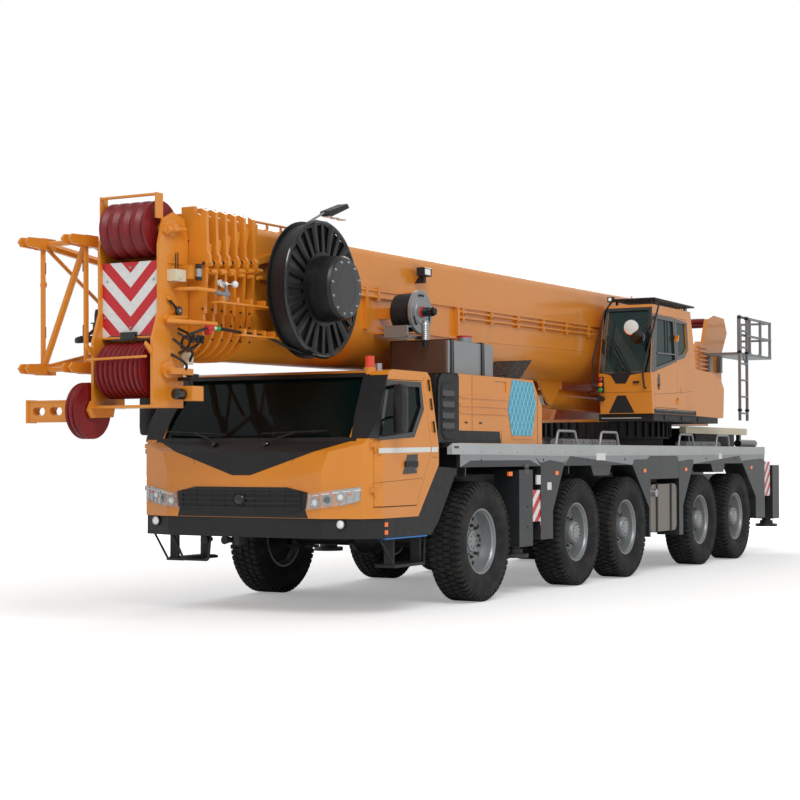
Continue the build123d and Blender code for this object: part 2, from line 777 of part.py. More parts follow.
def cheek_outline():
    """Side plate of the turntable, from the cylinder's foot to the boom pivot and the winch."""
    return [
        (-6350, turntable_bottom), (-6500, 2300), (-7450, 2560), (-8300, 2650), (-8700, 3250),
        (-8850, 3360), (-9150, 3360), (-9400, 3250), (-9700, 3480), (-10500, 3480),
        (-10850, 3250), (-10850, 2650), (-10200, 2300), (-9600, turntable_bottom),
    ]


def turntable():
    """Slewing platform with two side plates, cross members, cab bracket and machine housing."""
    outer = cheek_inner + cheek_thickness
    floor = block((-6350, -10150), (-outer, outer), (turntable_bottom, turntable_bottom + 50))
    disc = Pos(slew_x, 0, turntable_bottom + 20) * Cylinder(ring_radius - 20, 40)
    body = floor + disc
    body += both_sides(slab_side(cheek_outline(), (cheek_inner, outer)))
    body += rod_across(cylinder_foot[0], cylinder_foot[1], foot_pin_radius, (-cheek_inner - 10, cheek_inner + 10))
    body += rod_across(pivot_x, pivot_z, pivot_radius, (cheek_inner - 20, outer + 25))
    body += rod_across(pivot_x, pivot_z, pivot_radius, (-cheek_inner + 20, -outer - 25))
    body += block((-10700, -10760), (-cheek_inner - 10, cheek_inner + 10), (2600, 3300))
    body += block((-9250, -10200), (-cheek_inner - 5, cheek_inner + 5), (2105, 2180))
    cab_skid = block((-5480, -8240), (outer - 10, op_cab_outer - 20), (turntable_bottom, op_cab_floor - seat_gap))
    body += cab_skid
    body += rear_housing()
    body += block((-6400, -8500), (-1350, -outer + 10), (turntable_bottom, turntable_bottom + 60))
    body += block((-6900, -8450), (-1320, -outer - 30), (turntable_bottom + 50, 2950))
    return body + tail_frame()


def rear_housing():
    """Rounded machine housing behind the operator's cab."""
    low = op_cab_floor - 12
    return slab_side([(-7240, low), (-7240, 2890), (-7990, 2870), (-8400, 2785), (-8550, 2640), (-8505, low)],
                     (op_cab_inner, op_cab_outer - 20), 40)


def tail_frame():
    """Ribbed flanks and the raised frame with two guide rollers at the tail."""
    outer = cheek_inner + cheek_thickness
    plate = slab_side([(-9900, 3330), (-10150, 3880), (-10450, 3960), (-11000, 3940), (-11150, 3700),
                       (-10800, 3250)], (cheek_inner, outer))
    for step in range(6):
        z = 3040 + 70 * step
        plate += block((-9640, -10040), (outer - 5, outer + 45), (z - 12, z + 12))
    frame = both_sides(plate)
    for x in (-10330, -10980):
        frame += rod_across(x, 3850, 55, (-cheek_inner - 5, cheek_inner + 5))
    return frame


def operator_cab_outline(inset=0):
    """Operator's cab seen from the side."""
    low, high = op_cab_floor + inset, op_cab_roof - inset
    front, rear = op_cab_front - inset, op_cab_rear + inset
    return [(front - 70, low), (front, 2760), (front - 230, high), (rear + 80, high), (rear, 3100), (rear, low)]


def operator_cab_form(inset=0):
    """Solid of the operator's cab, drawn in by the inset."""
    side = slab_side(operator_cab_outline(inset), (op_cab_inner + inset, op_cab_outer - inset))
    low, high = op_cab_floor - 50, op_cab_roof + 50
    lean = slab_front([(op_cab_inner + inset, low), (op_cab_outer - inset, low), (op_cab_outer - inset, 2800),
                       (op_cab_outer - inset - 60, high), (op_cab_inner + inset, high)], (-8000, -5000))
    return side & lean


op_door_rear = op_door_hinge_x + 3
op_door_outline = [(-5500, 2290), (-5445, 2760), (-5620, 3600), (op_door_rear, 3600), (op_door_rear, 2290)]
op_window_outline = [(-5540, 2850), (-5690, 3540), (-6330, 3540), (-6330, 2990)]
op_rear_window = [(-6470, 3050), (-6480, 3540), (-6880, 3540), (-6880, 3190), (-6740, 3095)]


def front_window_cut(step):
    """Front opening of the operator's cab."""
    return block((-5800, -5200), (op_cab_inner + 70 - step, op_cab_outer - 100 + step), (2780 - step, 3660 + step))


def operator_cab():
    """Hollow cab with its front, side, rear and roof windows cut, and the seat inside."""
    shell = operator_cab_form() - operator_cab_form(op_wall)
    span = (op_cab_outer - 200, op_cab_outer + 60)
    shell -= side_prism(op_door_outline, door_gap, span)
    shell -= side_prism(op_rear_window, 0, span)
    shell -= front_window_cut(0)
    shell -= block((-5800, -6700), (op_cab_inner + 120, op_cab_outer - 200), (op_cab_roof - 60, op_cab_roof + 20))
    for low in (2400, 3300):
        shell += hinge_half(op_door_hinge_x, op_cab_outer + hinge_proud, -1, low)
    shell += roof_guard()
    for rail in cab_rails():
        shell += rail
    shell += load_light()
    seat = block((-6050, -6550), (820, 1220), (op_cab_floor + op_wall + 0.3, op_cab_floor + 520))
    seat += slab_side([(-6500, 2700), (-6620, 2700), (-6740, 3350), (-6640, 3350)], (840, 1200))
    console = block((-5560, -5700), (830, 1200), (op_cab_floor + op_wall + 0.3, 2720))
    return Compound(children=solids_of([shell, seat, console, *front_bands()]))


def roof_guard():
    """Slotted guard plate on posts over the roof, with a lamp at its front corner."""
    high = guard_bottom + guard_depth
    inner, outer = op_cab_inner + 120, op_cab_outer - 30
    guard = block((-5560, -7200), (inner, outer), (guard_bottom, high))
    for step in range(7):
        y = inner + 60 + 80 * step
        guard -= block((-5900, -7120), (y, y + 45), (guard_bottom - 5, high + 5))
    for x in (-5640, -7050):
        for y in (inner + 40, outer - 90):
            guard += block((x - 15, x + 15), (y - 15, y + 15), (op_cab_roof - 10, guard_bottom + 5))
    guard += block((-5520, -5600), (inner - 60, inner + 20), (guard_bottom - 10, guard_bottom + 65))
    return guard


def cab_rails():
    """Two bent tubes down the front corners, and the arms of the round mirrors on one."""
    left = [(-5600, 745, guard_bottom + 8), (-5515, 662, 3664), (-5290, 570, 2959), (-5285, 565, 2580),
            (-5370, 660, 2560)]
    right = [(-5600, op_cab_outer - 45, guard_bottom + 8), (-5500, 1476, 3704), (-5280, 1319, 2788),
             (-5280, 1340, 2564), (-5380, 1330, 2550)]
    rails = []
    for points in (left, right):
        path = FilletPolyline(*points, radius=35)
        rails.append(sweep(Plane(origin=path @ 0, z_dir=path % 0) * Circle(tube_radius), path=path))
    holder = (-5462, 1450, 3545)
    for drop, y in ((3394, 1189), (3260, 1281)):
        elbow = (-5230, y + 40, drop + 130)
        rails.append(strut(holder, elbow, 9, 8) + strut(elbow, (-5200, y, drop), 9, 8)
                     + Pos(-5200, y, drop) * Rot(0, 90, 0) * Cylinder(mirror_radius, 30))
    return rails


def load_light():
    """Upright three-colour load light with its round sounder below."""
    light = block((-5375, -5300), (645, 715), (2500, 2718))
    return light + Pos(-5335, 680, 2415) * Rot(0, 90, 0) * Cylinder(38, 90)


def front_bands():
    """Black band under the front window and black kick panel at the foot."""
    skin = operator_cab_form(-plate_depth) - operator_cab_form(-seat_gap)
    brow = [(725, 2772), (826, 2738), (892, 2624), (1039, 2620), (1113, 2738), (1319, 2772)]
    kick = [(905, 2455), (1030, 2455), (1151, 2212), (769, 2212)]
    return [skin & slab_front(points, (-5700, -5200)) for points in (brow, kick)]


def operator_glass():
    """Front, rear side and roof panes of the operator's cab."""
    skin = operator_cab_form(op_wall / 2) - operator_cab_form(op_wall / 2 + glass_thickness)
    front = skin & front_window_cut(-glass_gap)
    span = (op_cab_outer - 200, op_cab_outer + 60)
    rear = skin & side_prism(op_rear_window, -glass_gap, span)
    roof_z = op_cab_roof - op_wall / 2
    roof = block((-5800 - glass_gap, -6700 + glass_gap),
                 (op_cab_inner + 120 + glass_gap, op_cab_outer - 200 - glass_gap), (roof_z - glass_thickness, roof_z))
    return Compound(children=solids_of([front, rear, roof]))


def operator_door():
    """Door of the operator's cab, hung at its rear edge, with its pane and handle."""
    span = (op_cab_outer - 200, op_cab_outer + 60)
    wall = operator_cab_form() - operator_cab_form(op_wall)
    panel = wall & side_prism(op_door_outline, 0, span)
    panel -= side_prism(op_window_outline, 0, span)
    skin = operator_cab_form(op_wall / 2) - operator_cab_form(op_wall / 2 + glass_thickness)
    pane = skin & side_prism(op_window_outline, -glass_gap, span)
    handle = extrude(Plane.XZ.offset(-op_cab_outer - 10) * Pos(-5640, 2647) * Ellipse(38, 112), amount=20)
    door = panel + handle
    for low in (2400, 3300):
        door += hinge_half(op_door_hinge_x, op_cab_outer + hinge_proud, 1, low - 45 - seat_gap)
    return Compound(children=solids_of([door, pane]))


def rear_platform():
    """Folding access platform with rails and a ladder at the tail."""
    floor = block((-9950, tail_x), (640, 1200), (3260, 3300))
    for x in (-9970, -10550, -11130, tail_x + 30):
        floor += block((x - 20, x + 20), (1160, 1200), (3290, 3900))
    for z in (3590, 3880):
        floor += block((-9960, tail_x), (1165, 1195), (z - 18, z + 18))
        floor += block((tail_x, tail_x + 36), (640, 1200), (z - 18, z + 18))
    floor += block((tail_x, tail_x + 36), (640, 676), (3290, 3900))
    for x in (-9870, -10250):
        floor += block((x - 18, x + 18), (1205, 1245), (2180, 3900))
    for step in range(6):
        z = 2300 + 270 * step
        floor += block((-9870, -10250), (1208, 1242), (z - 14, z + 14))
    floor += block((-9852, -10268), (1190, 1215), (3265, 3295))
    floor += block((-10050, -10150), (cheek_inner + cheek_thickness + seat_gap, 660), (3000, 3290))
    floor += block((-10600, -10700), (cheek_inner + cheek_thickness + seat_gap, 660), (3000, 3290))
    return floor


def winch_drum():
    """Hoist winch drum with its flanges and wound rope."""
    x, z = winch_x, winch_z
    drum = rod_across(x, z, 250, (-470, 470))
    drum += rod_across(x, z, 330, (-500, -470))
    drum += rod_across(x, z, 330, (470, 500))
    return drum + rod_across(x, z, 70, (seat_gap - cheek_inner, cheek_inner - seat_gap))


# Boom

def on_boom(shape):
    """Places a piece drawn along the boom, about its pivot, at the boom's rake."""
    return Pos(pivot_x, 0, pivot_z) * Rot(0, boom_rake, 0) * shape


def boom_point(x, z):
    """Turns a place on the crane into one along and above the boom's own axis."""
    along, up = x - pivot_x, z - pivot_z
    turn = radians(boom_rake)
    return (along * cos(turn) - up * sin(turn), along * sin(turn) + up * cos(turn))


def section_face(width, height, top_radius, bottom_radius):
    """Boom section: flat top with small corners and a deep rounded belly."""
    low, high = boom_axis - height / 2, boom_axis + height / 2
    face = make_face(Polyline((-width / 2, low), (width / 2, low), (width / 2, high), (-width / 2, high), close=True))
    corners = face.vertices().sort_by(Axis.Y)
    face = fillet(corners[:2], bottom_radius)
    corners = face.vertices().sort_by(Axis.Y)
    return fillet(corners[-2:], top_radius)


def section_size(index):
    """Outer width and height of a section, the base being number 0."""
    return boom_width - section_step * index, boom_height - section_step * index


def section_tube(index, back, front):
    """Hollow tube of one boom section."""
    width, height = section_size(index)
    top_radius = 110 - 8 * index
    bottom_radius = width * 0.43
    outer = section_face(width, height, top_radius, bottom_radius)
    inner = section_face(width - 2 * section_wall, height - 2 * section_wall,
                         top_radius - section_wall, bottom_radius - section_wall)
    return extrude(Plane.YZ.offset(back) * (outer - inner), amount=front - back)


def collar_x(index):
    """Front face of a section's collar along the boom."""
    return boom_front + 155 + collar_pitch * index


def collar(index):
    """Ribbed collar at the front end of a section, with its lug on top."""
    width, height = section_size(index)
    front = collar_x(index)
    lip = collar_lip + section_step * index / 2
    outer = section_face(width + 2 * lip, height + 2 * lip, 100, width * 0.43)
    inner = section_face(width - 2 * section_wall, height - 2 * section_wall,
                         110 - 8 * index - section_wall, width * 0.43 - section_wall)
    ring = extrude(Plane.YZ.offset(front - collar_thickness) * (outer - inner), amount=collar_thickness)
    top = boom_axis + height / 2 + lip
    lug = block((front - collar_thickness, front), (280, 430), (top - 30, top + 60))
    floor = boom_axis - height / 2 + section_wall
    pad = block((front - 160, front - 10), (-50, 50), (floor - 1, floor + pad_height() - seat_gap))
    ear_root = boom_width / 2 + 5
    ear = slab_front([(ear_root, top + 40), (ear_root + 55, top + 10), (ear_root + 67, top - 370),
                      (collar_ear_out, top - 410), (collar_ear_out, top - 480), (ear_root + 55, top - 520),
                      (ear_root + 35, top - 950), (ear_root, top - 950)], (front - collar_thickness, front))
    return ring + both_sides(lug) + pad + ear


def pad_height():
    """Room between one section and the next one inside it."""
    return section_step / 2 - section_wall


def boom_base():
    """Base section with the pivot lugs, cylinder bracket, reel brackets and jib carriers."""
    tube = section_tube(0, boom_back, collar_x(0))
    tube += collar(0)
    low = boom_axis - boom_height / 2
    lug = slab_side([(-230, 60), (-130, 110), (130, 110), (700, 60), (900, -300), (-200, -300)],
                    (boom_width / 2 - 25, boom_width / 2 + 2))
    lug += rod_across(0, 0, 130, (boom_width / 2 - 30, boom_width / 2 + 10))
    tube += both_sides(lug)
    for side in (1, -1):
        tube -= rod_across(0, 0, pivot_radius + running_gap, (side * 400, side * 560))
    eye_u, eye_w = boom_point(*cylinder_eye)
    ear = slab_side([(eye_u - 420, low + 25), (eye_u - 110, eye_w - 60), (eye_u, eye_w - 110),
                     (eye_u + 110, eye_w - 60), (eye_u + 420, low + 25)], (150, 185))
    tube += both_sides(ear)
    rail = block((3300, 12000), (boom_width / 2 - 5, boom_width / 2 + 28), (330, 370))
    tube += both_sides(rail)
    reel_u, reel_w = boom_point(*hose_reel_at)
    bracket = block((reel_u - 120, reel_u + 120), (boom_width / 2 - 5, 690), (reel_w - 90, reel_w + 90))
    bracket += rod_across(reel_u, reel_w, hose_shaft_radius, (680, 1080))
    tube += bracket
    small_u, small_w = boom_point(*rope_reel_at)
    tube += block((small_u - 60, small_u + 60), (boom_width / 2 - 5, 700), (small_w - 60, small_w + 60))
    tube += block((small_u - 180, small_u + 180), (boom_width / 2 - 5, 760), (small_w - 235, small_w - 215))
    tube += rod_across(small_u, small_w, rope_shaft_radius, (690, 960))
    for u in (10400, 6000):
        for w in (jib_low, jib_high):
            tube += block((u - 60, u + 60), (-boom_width / 2 + 5, jib_inner_y + jib_chord_radius + seat_gap),
                          (w - 40, w + 40))
    tube += hose_racks() + top_rail()
    return on_boom(tube) + work_lamps()


def hose_racks():
    """Two racks of hose clamps beside the collars, and a slotted bracket above them."""
    racks = None
    for back, front, level, root in ((11774, 12611, -262, 420), (11888, 12955, 28, boom_width / 2 - 5)):
        shelf = block((back, front), (rack_inner_y, rack_outer_y), (level, level + 18))
        shelf += block((back, back + 190), (root, rack_inner_y + 5), (level, level + 18))
        for step in range(5):
            u = back + 80 + (front - back - 160) / 4 * step
            shelf += block((u - 20, u + 20), (rack_inner_y + 10, rack_outer_y - 10), (level + 10, level + 70))
        racks = shelf if racks is None else racks + shelf
    bracket = slab_side([(12131, 455), (12131, 520), (11604, 655), (11604, 590)], (boom_width / 2 - 5, 560))
    for step in range(4):
        u = 11690 + 115 * step
        w = 617 - 30 * step
        bracket -= block((u - 40, u + 40), (515, 545), (w - 90, w + 90))
    return racks + bracket


def top_rail():
    """Rope guard rail on posts along the top left of the base section."""
    top = boom_axis + boom_height / 2
    rail = Pos(0, 440, top + 45) * bar_along(11240, 12030, tube_radius)
    for u in (11260, 11510, 11760, 12010):
        rail += block((u - 10, u + 10), (430, 450), (top - 22, top + 45))
    return rail


def work_lamps():
    """Long lamp on its arm over the large reel, and a short lamp over the small one."""
    arm = strut(lamp_arm_foot, lamp_arm_tip, tube_radius, 8)
    lamp = slab_side([(1965, 4120), (1945, 4160), (1605, 4275), (1565, 4235), (1900, 4108)], (555, 680))
    small = block((-330, -130), (560, 650), (3680, 3775))
    small += block((-250, -190), (boom_width / 2 - 20, 620), (3600, 3690))
    return arm + lamp + small


def boom_section(index):
    """One telescopic section with its collar."""
    back = boom_back + 90 * index
    tube = section_tube(index, back, collar_x(index))
    return on_boom(tube + collar(index))


def head_plate_outline():
    """Side plate of the boom head."""
    ahead = [
        (0, 640), (0, -330), (80, -600), (80, -950), (540, -950), (540, -330),
        (440, -60), (440, 560), (370, 800), (220, 870), (60, 820),
    ]
    return [(head_back + u, w) for u, w in ahead]


def head_centres():
    """Axes of the upper and lower sheaves, along and above the boom axis."""
    (top_u, top_w), (low_u, low_w) = upper_sheaves_at, lower_sheaves_at
    return (head_back + top_u, top_w), (head_back + low_u, low_w)


def boom_head():
    """Innermost section with the head that carries both sheave packs."""
    index = section_count
    tube_end = head_back + 5
    tube = section_tube(index, boom_back + 90 * index, tube_end)
    width, height = section_size(index)
    flange = section_face(head_half_width * 2, height - 60, 60, 260)
    tube += extrude(Plane.YZ.offset(head_back) * flange, amount=22)
    plate = slab_side(head_plate_outline(), (head_half_width - head_plate, head_half_width))
    tube += both_sides(plate)
    (top_u, top_w), (low_u, low_w) = head_centres()
    inner = head_half_width - head_plate
    tube += rod_across(top_u, top_w, head_pin_radius, (-inner - 5, inner + 5))
    tube += rod_across(low_u, low_w, head_pin_radius, (-inner - 5, inner + 5))
    tube += block((head_back + 390, head_back + 405), (-inner - 5, inner + 5), (-300, 410))
    tube += block((head_back + 260, head_back + 395), (-inner - 5, inner + 5), (0, 30))
    tube += rod_across(top_u + 150, top_w + 300, 14, (-inner, inner))
    tube += both_sides(block((top_u + 60, top_u + 165), (inner - 14, inner), (top_w + 80, top_w + 315)))
    tube += rod_across(low_u + 60, low_w + 305, 12, (-inner - 5, inner + 5))
    tube += aux_bracket(low_u)
    tube += block((head_back + 158, head_back + 322), (head_half_width - 5, head_half_width + 95), (223, 330))
    tube += rod_across(head_back + 205, -47, 38, (head_half_width - 5, head_half_width + 45))
    for u, w in (upper_sheaves_at, lower_sheaves_at):
        for side in (1, -1):
            reach = head_half_width + 30
            tube += rod_across(head_back + u, w, 78, (side * (head_half_width - 5), side * reach))
            tube += rod_across(head_back + u, w, 34, (side * reach, side * (reach + 45)))
    return on_boom(tube)


def aux_centre():
    """Axis of the auxiliary sheave, along and above the boom axis."""
    return head_back + aux_sheave_at[0], aux_sheave_at[1]


def aux_bracket(low_u):
    """Bracket at the head's right foot for the auxiliary sheave and the folding arm."""
    u, w = aux_centre()
    inner = head_half_width
    foot = block((low_u - 150, u + 60), (-inner, inner), (-950, -925))
    cheek = slab_side([(low_u - 150, -925), (low_u - 150, w + 90), (u + 60, w + 90), (u + 110, w),
                       (u + 60, w - 70), (low_u - 120, w - 60)], (-inner - 8, -inner + 12))
    far = slab_side([(low_u - 150, -900), (low_u - 150, w + 90), (u + 60, w + 90), (u + 110, w),
                     (u + 60, w - 70), (low_u - 120, w - 60)], (-inner - 160, -inner - 145))
    bridge = block((low_u - 150, low_u - 135), (-inner - 160, -inner + 5), (-925, w + 90))
    pin = rod_across(u, w, aux_pin_radius, (-inner - 150, -inner))
    lugs = block((u - 50, u + 50), (-inner - 270, -inner - 155), (w + 95, w + 120))
    lugs += block((u - 50, u + 50), (-inner - 270, -inner - 155), (w - 120, w - 95))
    lugs += block((u - 50, u - 35), (-inner - 170, -inner - 150), (w - 120, w + 120))
    stem = Pos(u, -inner - aux_hinge_out, w) * Cylinder(aux_stem_radius, 240)
    return foot + cheek + far + bridge + pin + lugs + stem


def aux_arm():
    """Folding arm with two slots, swung to the right of the head."""
    u, w = aux_centre()
    near = -head_half_width - aux_hinge_out
    arm = block((u - 50, u + 50), (near - 560, near - 55), (w - 92, w + 92))
    arm += block((u - 62, u + 62), (near - 570, near - 540), (w - 110, w + 110))
    arm += block((u - 55, u + 55), (near - 560, near - 82), (w + 88, w + 104))
    arm += block((u - 55, u + 55), (near - 560, near - 82), (w - 104, w - 88))
    arm += Pos(u, near, w) * Cylinder(48, 180)
    arm += block((u - 40, u + 40), (near - 70, near), (w - 85, w + 85))
    arm -= Pos(u, near, w) * Cylinder(aux_stem_radius + running_gap, 300)
    for y in (near - 210, near - 420):
        slot = extrude(Plane.YZ.offset(u - 80) * (Pos(y, w) * SlotOverall(150, 76)), amount=160)
        arm -= slot
    return on_boom(arm)


def sheave_pack(radius, hub, bore, grooves, width, depth):
    """Row of rope sheaves turned as one, about the Y axis at the origin."""
    pitch = width / grooves
    points = [(bore, -width / 2), (bore, width / 2), (hub, width / 2)]
    for step in range(grooves):
        y = width / 2 - pitch * step
        points += [(radius, y), (radius, y - pitch * 0.18), (radius - depth, y - pitch * 0.5),
                   (radius, y - pitch * 0.82), (radius, y - pitch)]
    points += [(hub, -width / 2)]
    unique = [point for index, point in enumerate(points) if index == 0 or point != points[index - 1]]
    return revolve(make_face(Polyline(*unique, close=True)), Axis.Y)


def head_sheaves(upper):
    """The four upper or nine lower sheaves of the head."""
    top, low = head_centres()
    centre = top if upper else low
    count = 4 if upper else 9
    pack = sheave_pack(head_sheave_radius, 90, head_pin_radius + running_gap, count, 520, 34)
    return on_boom(Pos(centre[0], 0, centre[1]) * pack)


def aux_sheave():
    """Single wide sheave below the folding arm."""
    u, w = aux_centre()
    pack = sheave_pack(aux_sheave_radius, 80, aux_pin_radius + running_gap, 2, 110, 30)
    return on_boom(Pos(u, -head_half_width - 76, w) * pack)


def hose_reel():
    """Large open reel for the hose, with its hub housing outside."""
    u, w = boom_point(*hose_reel_at)
    radius = hose_reel_radius
    bore = hose_shaft_radius + running_gap
    points = [
        (bore, 720), (radius, 720), (radius, 735), (330, 745), (330, 905), (radius, 915), (radius, 930),
        (330, 945), (320, 1175), (300, 1200), (0, 1200), (0, 1100), (bore, 1100),
    ]
    reel = revolve(make_face(Polyline(*points, close=True)), Axis.Y)
    pitch = 360 / reel_window_count
    inner, outer = 375, hose_reel_radius - 40
    corners = []
    for reach, angle in ((inner, 4), (outer, 2), (outer, pitch - 2), (inner, pitch - 4)):
        corners.append((reach * cos(radians(angle)), reach * sin(radians(angle))))
    window = slab_side(corners, (900, 960))
    for step in range(reel_window_count):
        reel -= Rot(0, pitch * step, 0) * window
    return on_boom(Pos(u, 0, w) * reel)


def rope_reel():
    """Small reel with a pale flange and a dark drum."""
    u, w = boom_point(*rope_reel_at)
    bore = rope_shaft_radius + running_gap
    points = [(bore, 720), (200, 720), (200, 960), (rope_reel_radius, 965), (rope_reel_radius, 1000),
              (70, 1000), (50, 1010), (50, 1150), (0, 1150), (0, 970), (bore, 970)]
    reel = revolve(make_face(Polyline(*points, close=True)), Axis.Y)
    return on_boom(Pos(u, 0, w) * reel)


def swing_jib():
    """Lattice jib stowed along the right of the boom, its fork end to the front."""
    u_fork = head_back + jib_fork_ahead
    w_top, w_low = 650, -560
    stations = [(u_fork, jib_fork_inner_y, jib_outer_y, w_low, w_top)]
    stations.append((u_fork - 1500, jib_inner_y, jib_outer_y, jib_low, jib_high))
    pitch = 1350
    for step in range(1, 6):
        stations.append((u_fork - 1500 - pitch * step, jib_inner_y, jib_outer_y, jib_low, jib_high))
    jib = None
    frames = []
    for u, y_in, y_out, low, high in stations:
        frames.append([(u, y_in, low), (u, y_in, high), (u, y_out, high), (u, y_out, low)])
    for first, second in zip(frames, frames[1:]):
        for a, b in zip(first, second):
            bar = strut(a, b, jib_chord_radius)
            jib = bar if jib is None else jib + bar
    for number, frame in enumerate(frames):
        for a, b in zip(frame, frame[1:] + frame[:1]):
            jib += strut(a, b, 26)
    for number, (first, second) in enumerate(zip(frames, frames[1:])):
        for side in range(4):
            near, far = side, (side + 1) % 4
            if number % 2:
                near, far = far, near
            jib += strut(first[near], second[far], 20)
    front = frames[0]
    jib += strut(front[1], front[3], 34)
    for corner in front:
        u, y, w = corner
        for offset_y in (-45, 45):
            jib += slab_side([(u - 120, w - 55), (u + 260, w - 45), (u + 300, w), (u + 260, w + 45),
                              (u - 120, w + 55)], (y + offset_y - 12, y + offset_y + 12))
        jib += block((u - 120, u + 60), (y - 55, y + 55), (w - 55, w + 55))
    return on_boom(jib)


# Luffing cylinder

def along_cylinder(shape):
    """Places a piece drawn along X from the cylinder's foot."""
    run_x = cylinder_eye[0] - cylinder_foot[0]
    run_z = cylinder_eye[1] - cylinder_foot[1]
    plane = Plane(origin=(cylinder_foot[0], 0, cylinder_foot[1]), x_dir=(run_x, 0, run_z), z_dir=(-run_z, 0, run_x))
    return plane * shape


def bar_along(start, end, radius):
    """Round bar along X."""
    return Pos((start + end) / 2, 0, 0) * Rot(0, 90, 0) * Cylinder(radius, end - start)


def cylinder_length():
    """Distance between the cylinder's two eyes at rest."""
    return ((cylinder_eye[0] - cylinder_foot[0]) ** 2 + (cylinder_eye[1] - cylinder_foot[1]) ** 2) ** 0.5


def luff_barrel():
    """Barrel of the luffing cylinder with its foot eye."""
    length = cylinder_length()
    barrel = bar_along(120, length - 260, barrel_radius)
    barrel += Rot(90, 0, 0) * Cylinder(130, 240)
    barrel -= Rot(90, 0, 0) * Cylinder(foot_pin_radius + running_gap, 300)
    barrel -= bar_along(200, length, rod_radius + running_gap)
    return along_cylinder(barrel)


def luff_rod():
    """Rod of the luffing cylinder with its eye under the boom."""
    length = cylinder_length()
    rod = bar_along(230, length - 90, rod_radius)
    rod += Pos(length, 0, 0) * Rot(90, 0, 0) * Cylinder(105, 230)
    rod -= Pos(length, 0, 0) * Rot(90, 0, 0) * Cylinder(52, 300)
    return along_cylinder(rod)


def nodes():
    """Every node of the crane by name, measured from the front axle."""
    made = {
        "carrier_frame": carrier_frame(),
        "carrier_deck": carrier_deck(),
        "drive_train": drive_train(),
        "driver_cab": driver_cab(),
        "cab_glass": cab_glass(),
        "cab_interior": cab_interior(),
        "cab_trim": cab_trim(),
        "engine_hood": engine_hood(),
        "carrier_tanks": carrier_tanks(),
        "driver_door_left": driver_door(1),
        "driver_door_right": driver_door(-1),
        "turntable": turntable(),
        "operator_cab": operator_cab(),
        "operator_glass": operator_glass(),
        "operator_door": operator_door(),
        "rear_platform": rear_platform(),
        "winch_drum": winch_drum(),
        "boom_base": boom_base(),
        "head_sheaves_upper": head_sheaves(True),
        "head_sheaves_lower": head_sheaves(False),
        "aux_arm": aux_arm(),
        "aux_sheave": aux_sheave(),
        "hose_reel": hose_reel(),
        "rope_reel": rope_reel(),
        "swing_jib": swing_jib(),
        "luff_barrel": luff_barrel(),
        "luff_rod": luff_rod(),
    }
    for index in range(1, section_count):
        made[f"boom_section_{index}"] = boom_section(index)
    made[f"boom_section_{section_count}"] = boom_head()
    for name, x, side in outrigger_places():
        made[f"outrigger_beam_{name}"] = outrigger_beam(x, side)
        made[f"outrigger_jack_{name}"] = outrigger_jack(x, side)
    for number, x in enumerate(axle_x, start=1):
        left = Pos(x, wheel_y, tyre_radius) * wheel(driven=number > 1)
        made[f"wheel_{number}_left"] = left
        made[f"wheel_{number}_right"] = mirrored(left)
        if number != 3:
            made[f"knuckle_{number}_left"] = knuckle(x)
            made[f"knuckle_{number}_right"] = mirrored(knuckle(x))
    return made


def main():
    os.makedirs("parts", exist_ok=True)
    for name, shape in nodes().items():
        export_step(Pos(-middle_x, 0, 0) * shape, f"parts/{name}.step")


if __name__ == "__main__":
    main()
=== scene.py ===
"""Looks of a five-axle mobile crane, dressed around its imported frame.

Lengths are in metres. Places are written as they are measured on the crane: x ahead of the front
axle, y to the driver's left and z above the ground. The frame's origin is under the crane's middle,
so every finished mesh is moved along x by AXLE, the front axle's place in the frame.
"""

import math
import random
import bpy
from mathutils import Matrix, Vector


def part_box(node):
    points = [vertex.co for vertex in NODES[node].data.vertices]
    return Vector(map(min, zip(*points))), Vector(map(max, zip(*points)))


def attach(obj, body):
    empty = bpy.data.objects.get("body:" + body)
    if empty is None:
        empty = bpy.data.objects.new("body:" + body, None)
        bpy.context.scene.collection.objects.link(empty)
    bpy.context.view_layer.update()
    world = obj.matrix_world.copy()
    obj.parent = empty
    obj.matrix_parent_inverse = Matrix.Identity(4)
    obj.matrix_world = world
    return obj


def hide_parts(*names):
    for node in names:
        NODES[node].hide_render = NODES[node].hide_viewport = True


bl_info = {
    "name": "Mobile crane looks",
    "version": (1, 0, 0),
    "blender": (4, 5, 0),
    "location": "View3D > Sidebar > Crane",
    "description": "Finishes, small parts and studio of a five-axle mobile crane",
    "category": "Object",
}

import bmesh
import bpy
from mathutils import Matrix, Vector

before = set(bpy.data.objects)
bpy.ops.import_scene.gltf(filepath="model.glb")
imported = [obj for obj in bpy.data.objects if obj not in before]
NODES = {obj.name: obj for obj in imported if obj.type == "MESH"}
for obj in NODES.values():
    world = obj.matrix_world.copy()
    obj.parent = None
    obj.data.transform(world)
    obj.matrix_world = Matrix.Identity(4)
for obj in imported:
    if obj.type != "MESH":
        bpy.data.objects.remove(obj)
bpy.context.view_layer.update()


def centre_of(node):
    """Middle of a CAD node's box."""
    low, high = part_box(node)
    return (low + high) / 2


AXLE = centre_of("wheel_1_left").x
WHEEL_NAMES = [f"wheel_{number}_{side}" for number in range(1, 6) for side in ("left", "right")]
TYRE_RADIUS = centre_of("wheel_1_left").z
SECTIONS = 6
RAKE = math.radians(0.6)
PIVOT = (-9.0, 3.15)
COLLAR_FRONT = 12.195
COLLAR_PITCH = 0.155
COLLAR_DEPTH = 0.042
HOSE_REEL = (2.5, 0.0, 3.28)
ROPE_REEL = (0.57, 0.0, 3.19)
REEL_SPOKES = 12
COLUMN_LATCH = -1.075
finishes = {}


# Shader maths


